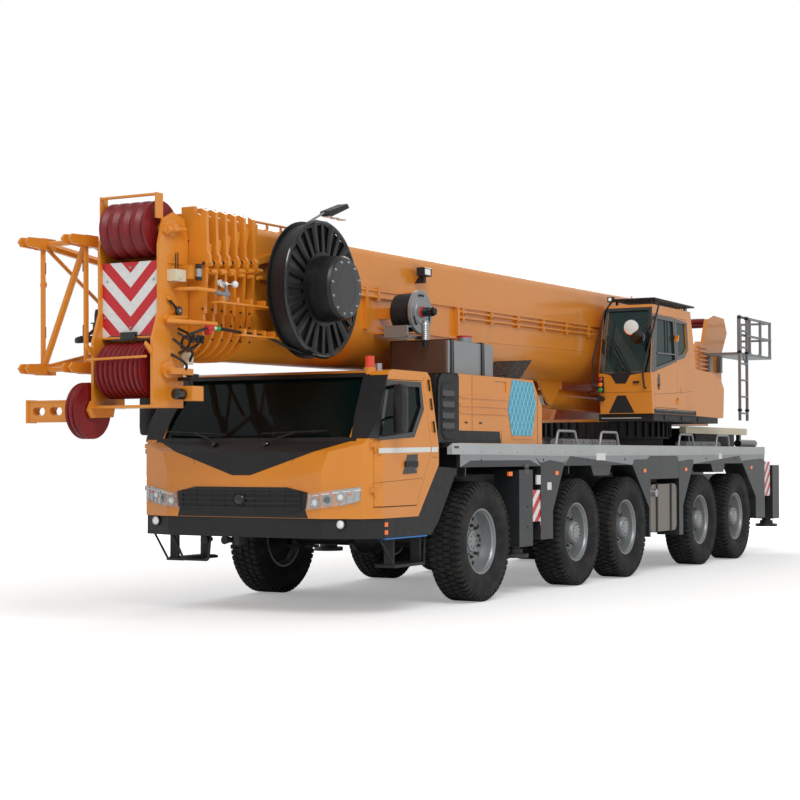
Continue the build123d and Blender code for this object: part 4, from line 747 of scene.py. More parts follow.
def detail_paints():
    """Where a node's finish changes: node, finish, and which of its faces."""
    rows = [
        ("carrier_deck", "deck_paint", lambda p, n: p.z > 1.62 and (abs(p.y) > 1.43 or n.z > 0.5)),
        ("carrier_deck", "silver_paint", lambda p, n: p.z > 1.755 and 1.33 < abs(p.y) < 1.42),
        ("carrier_deck", "gloss_black", room((-10.26, -9.40), (1.24, 1.41), (1.73, 1.88))),
        ("carrier_deck", "cream_paint", room((-10.26, -7.28), (1.11, 1.23), (1.93, 2.07))),
        ("carrier_deck", "dark_trim", room((-10.26, -8.34), (-1.01, 1.01), (1.76, 2.05))),
        ("carrier_deck", "hazard_board", room((-1.49, -1.255), (1.46, 1.495), (0.83, 1.22))),
        ("carrier_deck", "hazard_board", room((-10.61, -10.26), (1.46, 1.495), (0.94, 1.52))),
        ("carrier_deck", "hazard_board", room((-10.49, -10.26), (-1.495, -1.46), (0.94, 1.52))),
        ("carrier_deck", "silver_paint", lambda p, n: abs(p.y) > 1.4975 and 1.55 < p.z < 1.62),
        ("carrier_frame", "red_lens", lambda p, n: p.x < -11.055 and 0.81 < abs(p.y) < 1.15 and p.z < 1.0),
        ("carrier_deck", "red_lens", lambda p, n: p.x < -11.055 and 0.81 < abs(p.y) < 1.15 and p.z < 1.0),
        ("turntable", "dark_trim", room((-8.26, -5.46), (0.57, 1.42), (2.09, 2.204))),
        ("turntable", "sheave_plastic", lambda p, n: p.x < -10.2 and p.z > 3.78 and abs(p.y) < 0.525),
        ("carrier_frame", "dark_steel", lambda p, n: math.hypot(p.x + 7, p.y) < 1.15 and p.z > 1.7),
        ("cab_glass", "lens_glass", lambda p, n: p.z < 1.5),
        ("driver_cab", "cab_fabric", in_cab),
        ("driver_cab", "dark_trim", in_screen),
        ("engine_hood", "dark_trim", lambda p, n: p.x > 0.462),
        ("engine_hood", "mesh_metal", room((-2.05, -1.22), (0.84, 1.16), (2.512, 2.80))),
        ("carrier_tanks", "dark_trim", lambda p, n: abs(p.x + 5.35) < 0.03 or abs(p.x + 5.90) < 0.03),
        ("carrier_tanks", "silver_paint", lambda p, n: p.x > -0.7 and p.z > 2.5),
        ("carrier_tanks", "maroon_paint", lambda p, n: p.x > 0.4 and p.z > 2.5 and n.x > 0.6),
        ("carrier_tanks", "gloss_black", lambda p,
         n: p.z > 2.5 and (abs(p.x + 0.32) < 0.028 or abs(p.x - 0.43) < 0.028)),
        ("carrier_tanks", "bright_metal", near(-5.24, 1.5, 0.06, 1.03, 1.16)),
        ("operator_cab", "cab_fabric", in_op_cab),
        ("operator_cab", "dark_trim", ahead_of_op_cab),
        ("operator_cab", "dark_trim", lambda p, n: p.z > 3.742),
        ("operator_cab", "white_paint", lambda p,
         n: math.hypot(p.y - 1.189, p.z - 3.394) < 0.101 and -5.22 < p.x < -5.18),
        ("operator_cab", "gloss_black", lambda p,
         n: math.hypot(p.y - 1.281, p.z - 3.260) < 0.101 and -5.22 < p.x < -5.18),
        ("operator_door", "cab_fabric", in_op_cab),
        ("operator_door", "dark_trim", edge_face(OP_WINDOW, OP_FLANK)),
        ("operator_door", "clear_glass", pane_face(OP_WINDOW, OP_FLANK)),
        ("operator_door", "gloss_black", lambda p, n: p.y > 1.4215 and 2.5 < p.z < 2.78),
        ("rope_reel", "reel_plastic", lambda p, n: p.y < 0.962),
        ("rope_reel", "gloss_black", lambda p, n: p.y > 1.004),
        ("boom_section_6", "chevron_board", on_board),
        ("boom_section_6", "cream_paint", room((4.13, 4.32), (0.352, 0.46), (3.22, 3.345))),
        ("boom_base", "silver_paint", room((1.90, 2.50), (0.46, 0.66), (3.84, 4.2))),
        ("boom_base", "dark_trim", room((1.56, 1.97), (0.54, 0.69), (4.09, 4.28))),
        ("boom_base", "dark_trim", room((-0.34, -0.12), (0.55, 0.66), (3.59, 3.78))),
    ]
    for name in ("cab_trim", "driver_cab"):
        rows.append((name, "beacon_lens", near(1.86, 1.10, 0.06, 2.526, 2.66)))
        rows.append((name, "bright_metal", near(1.72, 1.12, 0.05, 2.51, 2.60)))
    for side in ("left", "right"):
        door = f"driver_door_{side}"
        rows.append((door, "cab_fabric", in_cab))
        rows.append((door, "gloss_black", edge_face(CAB_WINDOW, CAB_FLANK)))
        rows.append((door, "cab_glazing", pane_face(CAB_WINDOW, CAB_FLANK)))
        rows.append((door, "gloss_black", lambda p,
                     n: abs(p.y) > between(CAB_FRONT, p.z) + 0.004 and p.z > 1.8))
        rows.append((door, "dark_trim", lambda p, n: abs(p.y) > 1.4505 and 1.45 < p.z < 1.6))
    return rows


# Operators


class CraneOperator(bpy.types.Operator):
    """Base of the crane's operators."""

    bl_options = {"REGISTER", "UNDO"}

    def execute(self, context):
        self.make()
        return {"FINISHED"}


class CRANE_OT_finishes(CraneOperator):
    """Makes the materials and gives every CAD node its own"""

    bl_idname = "crane.finishes"
    bl_label = "Finishes"

    def make(self):
        make_finishes()
        dress_nodes()


# Measures of the driver's cab, in metres, which follow its solid


CAB_SIDE = [(0.99, 2.570), (1.27, 2.600), (1.66, 2.540), (1.76, 2.370), (2.06, 2.200), (2.48, 1.900)]
CAB_PLAN = [(0.0, 2.600), (0.95, 2.570), (1.33, 2.420), (1.45, 2.200)]
CAB_FRONT = [(0.9, 1.45), (1.72, 1.45), (2.56, 1.335)]
CAB_FLANK = CAB_FRONT
CAB_WINDOW = [(2.215, 1.800), (1.935, 2.325), (1.290, 2.335), (1.310, 2.120), (1.560, 1.860)]
OP_FRONT = [(2.20, -5.400), (2.76, -5.330), (3.74, -5.560)]
OP_FLANK = [(2.20, 1.420), (2.80, 1.420), (3.79, 1.360)]
OP_WINDOW = [(-5.540, 2.850), (-5.690, 3.540), (-6.330, 3.540), (-6.330, 2.990)]
OP_REAR_WINDOW = [(-6.470, 3.050), (-6.480, 3.540), (-6.880, 3.540), (-6.880, 3.190), (-6.740, 3.095)]


def between(points, value):
    """Straight-line reading of a table of pairs."""
    for (low, first), (high, second) in zip(points, points[1:]):
        if value <= high:
            break
    return first + (second - first) * (value - low) / (high - low)


def on_face(y, z, lift=0.0):
    """Point on the cab's front, lifted off its skin."""
    return (min(between(CAB_SIDE, z), between(CAB_PLAN, abs(y))) + lift, y, z)


def on_flank(x, z, lift=0.0, side=1):
    """Point on the cab's flank, lifted off its skin."""
    return (x, side * (between(CAB_FRONT, z) + lift), z)


def ring_plate(form, outer, inner, place, low, high):
    """Flat frame between two outlines with as many points, laid on a skin."""
    def row(points, lift):
        return [form.mesh.verts.new(place(a, b, lift)) for a, b in points]
    rows = [row(outer, low), row(outer, high), row(inner, high), row(inner, low)]
    rows.append(rows[0])
    count = len(outer)
    for first, second in zip(rows, rows[1:]):
        for step in range(count):
            after = (step + 1) % count
            form.face([first[step], first[after], second[after], second[step]])
    return form


def plate(form, outline, place, low, high):
    """Thin plate with an outline, laid on a skin."""
    return form.loft([[place(a, b, low) for a, b in outline], [place(a, b, high) for a, b in outline]])


def seam(form, points, place, width=0.004):
    """Thin dark joint line between panels."""
    for (a, b), (c, d) in zip(points, points[1:]):
        form.rod(place(a, b, 0.0), place(c, d, 0.0), width / 2, 6)
    return form


class CRANE_OT_wheels(CraneOperator):
    """Makes the ten wheels: treaded tyres on deep rims with their hubs and nuts"""

    bl_idname = "crane.wheels"
    bl_label = "Wheels"

    def make(self):
        for name in WHEEL_NAMES:
            side = 1 if name.endswith("left") else -1
            centre = centre_of(name) - Vector((AXLE, 0, 0))
            form = Form(name.replace("wheel", "tyre_and_rim"), "tyre_rubber", "silver_paint", "cast_steel",
                        "dark_steel")
            self.tyre(form, centre, side)
            self.rim(form, centre, side, name.startswith("wheel_1"))
            form.done(name, "tyre_rubber", replaced=[name])

    def tyre(self, form, centre, side):
        """Carcass with ribbed sidewalls, and the tread's lugs."""
        deep = TYRE_RADIUS - sizes().lug_depth
        wall = [(0.361, 0.139), (0.372, 0.149), (0.384, 0.151), (0.390, 0.158), (0.398, 0.158),
                (0.404, 0.163),
                (0.440, 0.176), (0.446, 0.180), (0.452, 0.180), (0.458, 0.183), (0.500, 0.189),
                (0.556, 0.191),
                (0.562, 0.188), (0.568, 0.191), (0.592, 0.186), (0.612, 0.178), (0.630, 0.166),
                (deep - 0.004, 0.150), (deep, 0.128)]
        far = [(radius, -along) for radius, along in reversed(wall)]
        profile = [(radius, along * side) for radius, along in wall + far]
        form.use(0).lathe(profile, centre, "Y", 72, closed=True)
        count = sizes().lug_count
        pitch = math.tau / count
        outer = TYRE_RADIUS
        shoulder = [(0.596, 0.183), (0.612, 0.190), (0.640, 0.184), (outer, 0.160), (outer, 0.098),
                    (deep - 0.004, 0.094)]
        middle = [(deep - 0.004, 0.082), (outer, 0.079), (outer, 0.010), (deep - 0.004, 0.007)]
        for step in range(count):
            for way in (1, -1):
                shift = 0.0 if way > 0 else 0.5
                self.lug(form, centre, [(r, a * way) for r, a in shoulder], (step + shift) * pitch,
                         pitch * 0.31)
                self.lug(form, centre, [(r, a * way) for r, a in middle], (step + shift + 0.4) * pitch,
                         pitch * 0.40)

    def lug(self, form, centre, profile, angle, half):
        """One tread block: its profile swept through a short angle, narrower at its top."""
        rings = []
        for way in (-1, 1):
            ring = []
            for radius, along in profile:
                share = 0.86 if radius > 0.66 else 1.0
                turn = angle + way * half * share
                ring.append((centre[0] + radius * math.cos(turn), centre[1] + along,
                             centre[2] + radius * math.sin(turn)))
            rings.append(ring)
        form.loft(rings)

    def rim(self, form, centre, side, front):
        """Rim barrel and lip, the disc with its holes, the hub and the nuts."""
        lip = [(0.359, -0.150), (0.359, 0.120), (0.372, 0.128), (0.374, 0.136), (0.366, 0.1415),
               (0.352, 0.1415),
               (0.343, 0.134), (0.338, 0.108), (0.330, 0.100), (0.326, 0.050), (0.316, 0.004),
               (0.312, -0.008),
               (0.312, -0.030), (0.330, -0.040), (0.340, -0.150)]
        form.use(1).lathe([(r, a * side) for r, a in lip], centre, "Y", 64, closed=True)
        self.disc(form, centre, side)
        if front:
            hub = [(0.215, -0.0085), (0.196, 0.004), (0.134, 0.006), (0.119, 0.018), (0.115, 0.034),
                   (0.100, 0.0415)]
        else:
            hub = [(0.215, -0.0085), (0.190, 0.006), (0.150, 0.010), (0.143, 0.030), (0.139, 0.098),
                   (0.134, 0.104),
                   (0.134, 0.112), (0.128, 0.126), (0.114, 0.1365)]
        form.use(1).lathe([(r, a * side) for r, a in hub], centre, "Y", 48)
        form.use(2)
        ring_radius = 0.172
        for step in range(10):
            angle = math.tau * (step + 0.5) / 10
            spot = Vector(centre) + Vector((ring_radius * math.cos(angle), 0.004 * side,
                                            ring_radius * math.sin(angle)))
            way = Vector((0, side, 0))
            form.rod(spot, spot + way * 0.006, sizes().bolt_radius * 1.35, 12)
            form.nut(spot + way * 0.006, way, sizes().bolt_radius, 0.022)
            form.rod(spot + way * 0.028, spot + way * 0.040, sizes().bolt_radius * 0.5, 8)
        face = 0.0415 if front else 0.1365
        small = 8 if front else 12
        for step in range(small):
            angle = math.tau * step / small
            spread = 0.078 if front else 0.096
            spot = Vector(centre) + Vector((spread * math.cos(angle), face * side, spread * math.sin(angle)))
            form.nut(spot, Vector((0, side, 0)), 0.008, 0.006)
        valve = Vector(centre) + Vector((0.30, -0.004 * side, 0.05))
        form.rod(valve, valve + Vector((0.02, 0.06 * side, 0.01)), 0.006, 8)
        form.use(3).lathe([(0.31, -0.060 * side), (0.05, -0.064 * side)], centre, "Y", 32)

    def disc(self, form, centre, side):
        """Wheel disc with ten round holes, each set in its own sector."""
        holes, inner, outer, hole_circle, hole_radius = 10, 0.214, 0.313, 0.262, 0.030
        form.use(1)
        for step in range(holes):
            middle = math.tau * step / holes
            half = math.pi / holes
            corners = [(inner, -1), (inner, 0), (inner, 1), (hole_circle, 1), (outer, 1), (outer, 0.34),
                       (outer, -0.34),
                       (outer, -1), (hole_circle, -1)]
            border = [(r * math.cos(middle + half * a), r * math.sin(middle + half * a)) for r, a in corners]
            spot = (hole_circle * math.cos(middle), hole_circle * math.sin(middle))
            hole = []
            for u, v in border:
                way = Vector((u - spot[0], v - spot[1])).normalized() * hole_radius
                hole.append((spot[0] + way.x, spot[1] + way.y))
            def row(points, along):
                return [form.mesh.verts.new((centre[0] + u, centre[1] + along * side, centre[2] + v)) for u,
                        v in points]
            rows = [row(border, -0.0085), row(hole, -0.0085), row(hole, -0.026), row(border, -0.026)]
            for first, second in zip(rows, rows[1:]):
                for index in range(len(border)):
                    after = (index + 1) % len(border)
                    form.face([first[index], first[after], second[after], second[index]])


class CRANE_OT_cab_front(CraneOperator):
    """Makes the lamps, grille sensor, wipers, pillars and seams of the driver's cab"""

    bl_idname = "crane.cab_front"
    bl_label = "Cab front"

    def make(self):
        self.lamps()
        self.wipers()
        self.pillars()
        self.seams()
        self.low_front()

    def lamps(self):
        """Reflectors and light strips that show through the headlamp lenses."""
        form = Form("headlamp_insides", "bright_metal", "bright_metal", "white_lens", "orange_lens",
                    "gloss_black")
        outline = [(0.795, 1.080), (0.820, 1.230), (1.04, 1.268), (1.322, 1.302), (1.318, 1.172),
                   (1.148, 1.124)]
        plate(form.use(0), outline, on_face, 0.0006, 0.003)
        way = Vector((0.93, 0.367, 0.02))
        for y, z, radius, lens in ((0.885, 1.150, 0.050, 2), (1.010, 1.178, 0.056, 4),
                                   (1.135, 1.206, 0.046, 2)):
            spot = Vector(on_face(y, z, 0.004))
            ahead = Vector((1, 0.06, 0.03)) if y < 0.95 else way
            form.use(1).lathe([(radius, 0), (radius, 0.008), (radius * 0.84, 0.009), (radius * 0.7, 0.003)],
                              spot,
                              ahead, 28)
            form.use(lens).lathe([(radius * 0.62, 0.003), (radius * 0.5, 0.010), (radius * 0.1, 0.0125)],
                                 spot, ahead, 24)
        form.use(3).ball(on_face(1.225, 1.236, 0.006), 0.016)
        for step in range(5):
            y = 0.86 + 0.10 * step
            z = between([(0.82, 1.222), (1.322, 1.290)], y) - 0.012
            form.use(2).rod(on_face(y, z, 0.008), on_face(y + 0.07, z + 0.010, 0.008), 0.006, 8)
        for step in range(7):
            y = 0.84 + 0.07 * step
            form.use(1).rod(on_face(y, 1.095 + 0.004 * step, 0.006),
                            on_face(y + 0.012, 1.225 + 0.011 * step, 0.006),
                            0.0035, 6)
        form.mirror().done("carrier", "clear_glass")
        below = Form("grille_foot", "dark_trim")
        plate(below, [(-0.80, 0.994), (0.80, 0.994), (0.77, 1.086), (-0.77, 1.086)], on_face, 0.0006, 0.004)
        below.done("carrier", "dark_trim")
        sensor = Form("grille_sensor", "gloss_black", "dark_steel")
        spot = on_face(0.0, 1.175, 0.012)
        sensor.use(1).lathe([(0.075, 0), (0.075, 0.020), (0.066, 0.026), (0.062, 0.018)], spot, "X", 40)
        sensor.use(0).lathe([(0.062, 0.012), (0.050, 0.026), (0.02, 0.032), (0.004, 0.033)], spot, "X", 40)
        for y in (-0.72, -0.54, -0.36, -0.18, 0.18, 0.36, 0.54, 0.72):
            sensor.use(1).rod(on_face(y, 1.07, 0.014), on_face(y, 1.265, 0.014), 0.007, 6)
        sensor.done("carrier", "dark_trim")

    def wipers(self):
        """Two long blades parked along the foot of the windscreen."""
        form = Form("wipers", "dark_trim", "gloss_black")
        for pivot, tip, first, last in (((-0.42, 1.725), (-0.74, 1.850), (-1.12, 1.872), (-0.34, 1.838)),
                                        ((0.215, 1.728), (0.50, 1.850), (0.10, 1.845), (0.88, 1.868))):
            hub = Vector(on_face(*pivot, 0.004))
            form.use(1).lathe([(0.030, 0), (0.028, 0.030), (0.014, 0.040)], hub, Vector((0.8, 0, 0.6)), 20)
            elbow = on_face(pivot[0] * 0.6 + tip[0] * 0.4, 1.80, 0.055)
            form.use(0).tube([hub + Vector((0.02, 0, 0.02)), elbow, on_face(*tip, 0.040)], 0.010, 8)
            form.rod(on_face(*first, 0.030), on_face(*last, 0.030), 0.009, 6)
            form.rod(on_face(*first, 0.018), on_face(*last, 0.018), 0.005, 6)
            for share in (0.2, 0.5, 0.8):
                y = first[0] + (last[0] - first[0]) * share
                z = first[1] + (last[1] - first[1]) * share
                form.rod(on_face(y - 0.02, z, 0.032), on_face(y + 0.02, z, 0.032), 0.013, 8)
        form.done("carrier", "dark_trim")

    def pillars(self):
        """Dark covers over the two front pillars and the header over the windscreen."""
        form = Form("pillar_covers", "dark_trim")
        edge = [(1.79, 1.172), (2.44, 1.070)]
        door = [(1.75, 2.302), (2.39, 1.972), (2.46, 1.94)]
        rings = []
        for step in range(9):
            z = 1.79 + (2.44 - 1.79) * step / 8
            x = between(CAB_SIDE, z)
            corner = min(between(CAB_FRONT, z), 1.45 - (x - 2.2) / 0.22 * 0.12 if x > 2.2 else 1.45)
            back = min(between(door, z), x - 0.004)
            flank = between(CAB_FRONT, z)
            glass = between(edge, z)
            rings.append([(x + 0.0006, glass, z), (x + 0.0006, corner - 0.004, z + 0.0),
                          (back, flank + 0.0006, z),
                          (back, flank + 0.005, z), (x + 0.005, corner + 0.003, z), (x + 0.006, glass, z)])
        form.loft(rings)
        form.mirror()
        outer = [(-1.24, 1.764), (1.24, 1.764), (1.19, 2.06), (1.10, 2.468), (-1.10, 2.468), (-1.19, 2.06)]
        inner = [(-1.186, 1.801), (1.186, 1.801), (1.140, 2.06), (1.077, 2.424), (-1.077, 2.424),
                 (-1.140, 2.06)]
        ring_plate(form, outer, inner, on_face, 0.0006, 0.0045)
        form.done("carrier", "dark_trim", bevel=0.001)

    def seams(self):
        """Joint lines of the front panels, as thin dark grooves."""
        form = Form("cab_seams", "dark_trim")
        seam(form, [(0.872, 1.285), (0.991, 1.651)], on_face)
        seam(form, [(0.991, 1.651), (1.02, 1.735)], on_face)
        seam(form, [(0.60, 1.302), (0.60, 1.560), (0.64, 1.60)], on_face)
        for points in ([(2.40, 1.342), (2.297, 1.347)], [(2.40, 1.102), (1.50, 1.10)],
                       [(1.165, 2.44), (1.165, 2.41)]):
            seam(form, points, on_flank)
        form.mirror().done("carrier", "dark_trim")

    def low_front(self):
        """Fog lamp lenses, side reflectors, the blue step tread and the step frame."""
        form = Form("low_front_parts", "white_lens", "orange_lens", "dark_steel", "blue_tread",
                    "bright_metal")
        spot = (2.505, 1.139, 0.935)
        form.use(4).lathe([(0.045, -0.004), (0.045, 0.004), (0.039, 0.006), (0.036, 0.002)], spot, "X", 28)
        form.use(0).lathe([(0.037, 0.001), (0.028, 0.008), (0.004, 0.011)], spot, "X", 28)
        for z in (0.927, 0.848):
            form.use(1).box((2.150, 2.090), (1.4395, 1.447), (z - 0.022, z + 0.022))
        form.use(3).box((1.26, 2.14), (1.36, 1.446), (0.775, 0.7895))
        for step in range(11):
            x = 1.30 + 0.08 * step
            form.rod((x, 1.37, 0.774), (x + 0.04, 1.44, 0.774), 0.003, 6)
        form.use(2).tube([(2.18, 1.40, 0.785), (1.93, 1.42, 0.512)], 0.012, 8)
        form.tube([(1.24, 1.40, 0.785), (1.29, 1.42, 0.512)], 0.012, 8)
        for step in range(9):
            x = 1.32 + 0.07 * step
            form.use(2).box((x - 0.008, x + 0.008), (1.215, 1.425), (0.510, 0.518))
        form.mirror().done("carrier", "dark_trim", bevel=0.0015)


class CRANE_OT_cab_sides(CraneOperator):
    """Makes the window frames, stripes, handles and mirrors of the driver's cab"""

    bl_idname = "crane.cab_sides"
    bl_label = "Cab sides"

    def make(self):
        for side, name in ((1, "left"), (-1, "right")):
            self.door(side, name)
            self.flank(side, name)

    def door(self, side, name):
        """What rides on a door: its window frame, handle, stripe and mirror shell."""
        def place(x, z, lift):
            return on_flank(x, z, lift, side)
        form = Form(f"door_dressing_{name}", "gloss_black", "dark_trim", "white_paint", "bright_metal",
                    "mirror_glass")
        outer = [(2.286, 1.768), (1.962, 2.386), (1.236, 2.390), (1.246, 2.100), (1.530, 1.806)]
        inner = CAB_WINDOW
        ring_plate(form.use(0), outer, inner, place, 0.0005, 0.004)
        plate(form.use(0), [(1.795, 1.428), (1.700, 1.625), (1.482, 1.632), (1.502, 1.436)], place, 0.0005,
              0.006)
        form.use(3).lathe([(0.012, 0), (0.012, 0.008), (0.004, 0.009)], place(1.535, 1.475, 0.005), "Y", 16)
        plate(form.use(2), [(2.284, 1.640), (2.284, 1.692), (1.195, 1.706), (1.195, 1.654)], place, 0.0004,
              0.0015)
        seam(form.use(1), [(2.284, 1.348), (1.365, 1.384)], place)
        low, high = 1.862, 2.318
        shell = [(2.010, 1.505), (2.060, 1.490), (2.120, 1.530), (2.150, 1.590), (2.146, 1.640),
                 (2.090, 1.650),
                 (2.020, 1.647)]
        middle = (2.07, 1.57)
        rings = []
        for z, share in ((low - 0.02, 0.70), (low, 0.92), (low + 0.07, 1.0), (high - 0.10, 1.0),
                         (high - 0.02, 0.90),
                         (high + 0.012, 0.62)):
            rings.append([(middle[0] + (x - middle[0]) * share, (middle[1] + (y - middle[1]) * share) * side,
                           z)
                          for x, y in shell])
        form.use(1).loft(rings)
        glass = [(x, y * side) for x, y in ((2.006, 1.522), (2.012, 1.522), (2.019, 1.636), (2.013, 1.636))]
        form.use(4).slab(glass, (low + 0.20, high - 0.06), "Z")
        form.slab(glass, (low + 0.02, low + 0.17), "Z")
        form.use(1).tube([(1.93, 1.380 * side, 2.01), (1.99, 1.47 * side, 2.00), (2.06, 1.53 * side, 1.99)],
                         0.014, 8)
        form.done(f"driver_door_{name}", "dark_trim", bevel=0.002)

    def flank(self, side, name):
        """What stays on the cab: the stripe's ends and the joint lines."""
        def place(x, z, lift):
            return on_flank(x, z, lift, side)
        form = Form(f"flank_dressing_{name}", "white_paint", "dark_trim", "dark_steel")
        plate(form.use(0), [(1.172, 1.653), (1.172, 1.705), (1.030, 1.708), (1.030, 1.656)], place, 0.0004,
              0.0015)
        seam(form.use(1), [(1.03, 1.60), (1.165, 1.60)], place)
        form.use(2)
        for z in (1.86, 2.10, 2.30):
            form.rod(place(1.08, z, 0.012), place(1.08, z + 0.12, 0.012), 0.009, 8)
            form.rod(place(1.08, z + 0.01, 0.0), place(1.08, z + 0.01, 0.012), 0.006, 6)
            form.rod(place(1.08, z + 0.11, 0.0), place(1.08, z + 0.11, 0.012), 0.006, 6)
        form.done("carrier", "dark_trim")


class CRANE_OT_hood(CraneOperator):
    """Makes the hood's intake column, patterned panel, dark plate and tank straps"""

    bl_idname = "crane.hood"
    bl_label = "Engine hood"

    def make(self):
        self.intake()
        self.panel()
        self.tanks()

    def intake(self):
        """Black column with four slots behind the cab, and the bare plate below the hood's flank."""
        form = Form("hood_intake_column", "dark_trim", "gloss_black", "dark_steel")
        outline = [(0.956, 1.758), (0.472, 1.758), (0.472, 2.470), (0.50, 2.498), (0.860, 2.498),
                   (0.930, 2.440),
                   (0.956, 2.340)]
        form.slab(outline, (1.4065, 1.4145))
        for low in (1.905, 2.015, 2.135, 2.255):
            form.use(1).slab([(0.845, low), (0.580, low), (0.580, low + 0.062), (0.845, low + 0.062)],
                             (1.4146, 1.4155))
            form.use(2).slab([(0.850, low - 0.016), (0.575, low - 0.016), (0.585, low + 0.004),
                              (0.840, low + 0.004)],
                             (1.4146, 1.430))
        form.use(0).tube([(0.62, 1.418, 1.80), (0.80, 1.418, 1.80), (0.875, 1.418, 1.86),
                          (0.885, 1.418, 2.32),
                          (0.84, 1.418, 2.40), (0.60, 1.418, 2.41)], 0.009, 6)
        form.done("carrier", "dark_trim", bevel=0.002)
        bare = Form("hood_bare_plate", "dark_trim")
        bare.slab([(0.465, 1.757), (-0.600, 1.757), (-0.560, 1.890), (0.465, 1.890)], (1.4004, 1.4044))
        bare.done("carrier", "dark_trim", bevel=0.001)

    def panel(self):
        """Blue panel under a net of plain diamonds."""
        outline = [(-0.900, 2.496), (-1.470, 2.476), (-1.557, 2.236), (-1.440, 1.848), (-0.886, 1.848),
                   (-0.780, 2.149)]
        form = Form("hood_pattern_panel", "hood_panel", "hood_net", "crane_paint")
        form.slab(outline, (1.4004, 1.4054))
        pitch, step = 0.105, 0.01
        for way in (1, -1):
            for number in range(-14, 40):
                start = -2.2 + pitch * number
                line = [(start + way * step * share * 0.62, 1.8 + step * share) for share in range(75)]
                line = [point for point in line if inside(outline, *point)]
                if len(line) > 3:
                    (x0, z0), (x1, z1) = line[0], line[-1]
                    form.use(1).rod((x0, 1.4056, z0), (x1, 1.4056, z1), 0.0045, 5)
        form.use(2).box((-1.44, -0.89), (1.4004, 1.412), (1.812, 1.838))
        form.done("carrier", "crane_paint")
        seams = Form("hood_seams", "dark_trim")
        for x0, z0, x1, z1 in ((0.13, 1.895, 0.13, 2.505), (-0.62, 1.76, -0.62, 1.90),
                               (0.462, 1.76, 0.462, 2.50),
                               (-1.60, 1.76, -1.60, 2.36)):
            seams.rod((x0, 1.4005, z0), (x1, 1.4005, z1), 0.0022, 6)
        for x in (-0.05, 0.30):
            seams.rod((x, 1.4005, 1.98), (x - 0.05, 1.4005, 1.98), 0.010, 8)
        seams.done("carrier", "dark_trim")

    def tanks(self):
        """Twin straps of the oil tank, and its filler's ring and bolts."""
        form = Form("tank_straps", "gloss_black", "red_paint", "bright_metal")
        for x in (-0.32, 0.43):
            for shift in (-0.032, 0.014):
                loop = [(x + shift, 0.55, 2.515), (x + shift, 0.55, 2.888), (x + shift, 1.309, 2.888),
                        (x + shift, 1.309, 2.515)]
                form.use(0).tube([Vector(point) for point in loop], 0.010, 6)
        form.use(1).lathe([(0.088, 2.968 - 0.02), (0.088, 2.968), (0.060, 2.974), (0.060, 2.955)],
                          (-0.18, 1.15, 0), "Z", 28)
        for step in range(8):
            angle = math.tau * step / 8
            form.use(2).nut((-0.18 + 0.093 * math.cos(angle), 1.15 + 0.093 * math.sin(angle), 2.898),
                            (0, 0, 1), 0.008,
                            0.008)
        form.done("carrier", "dark_trim")


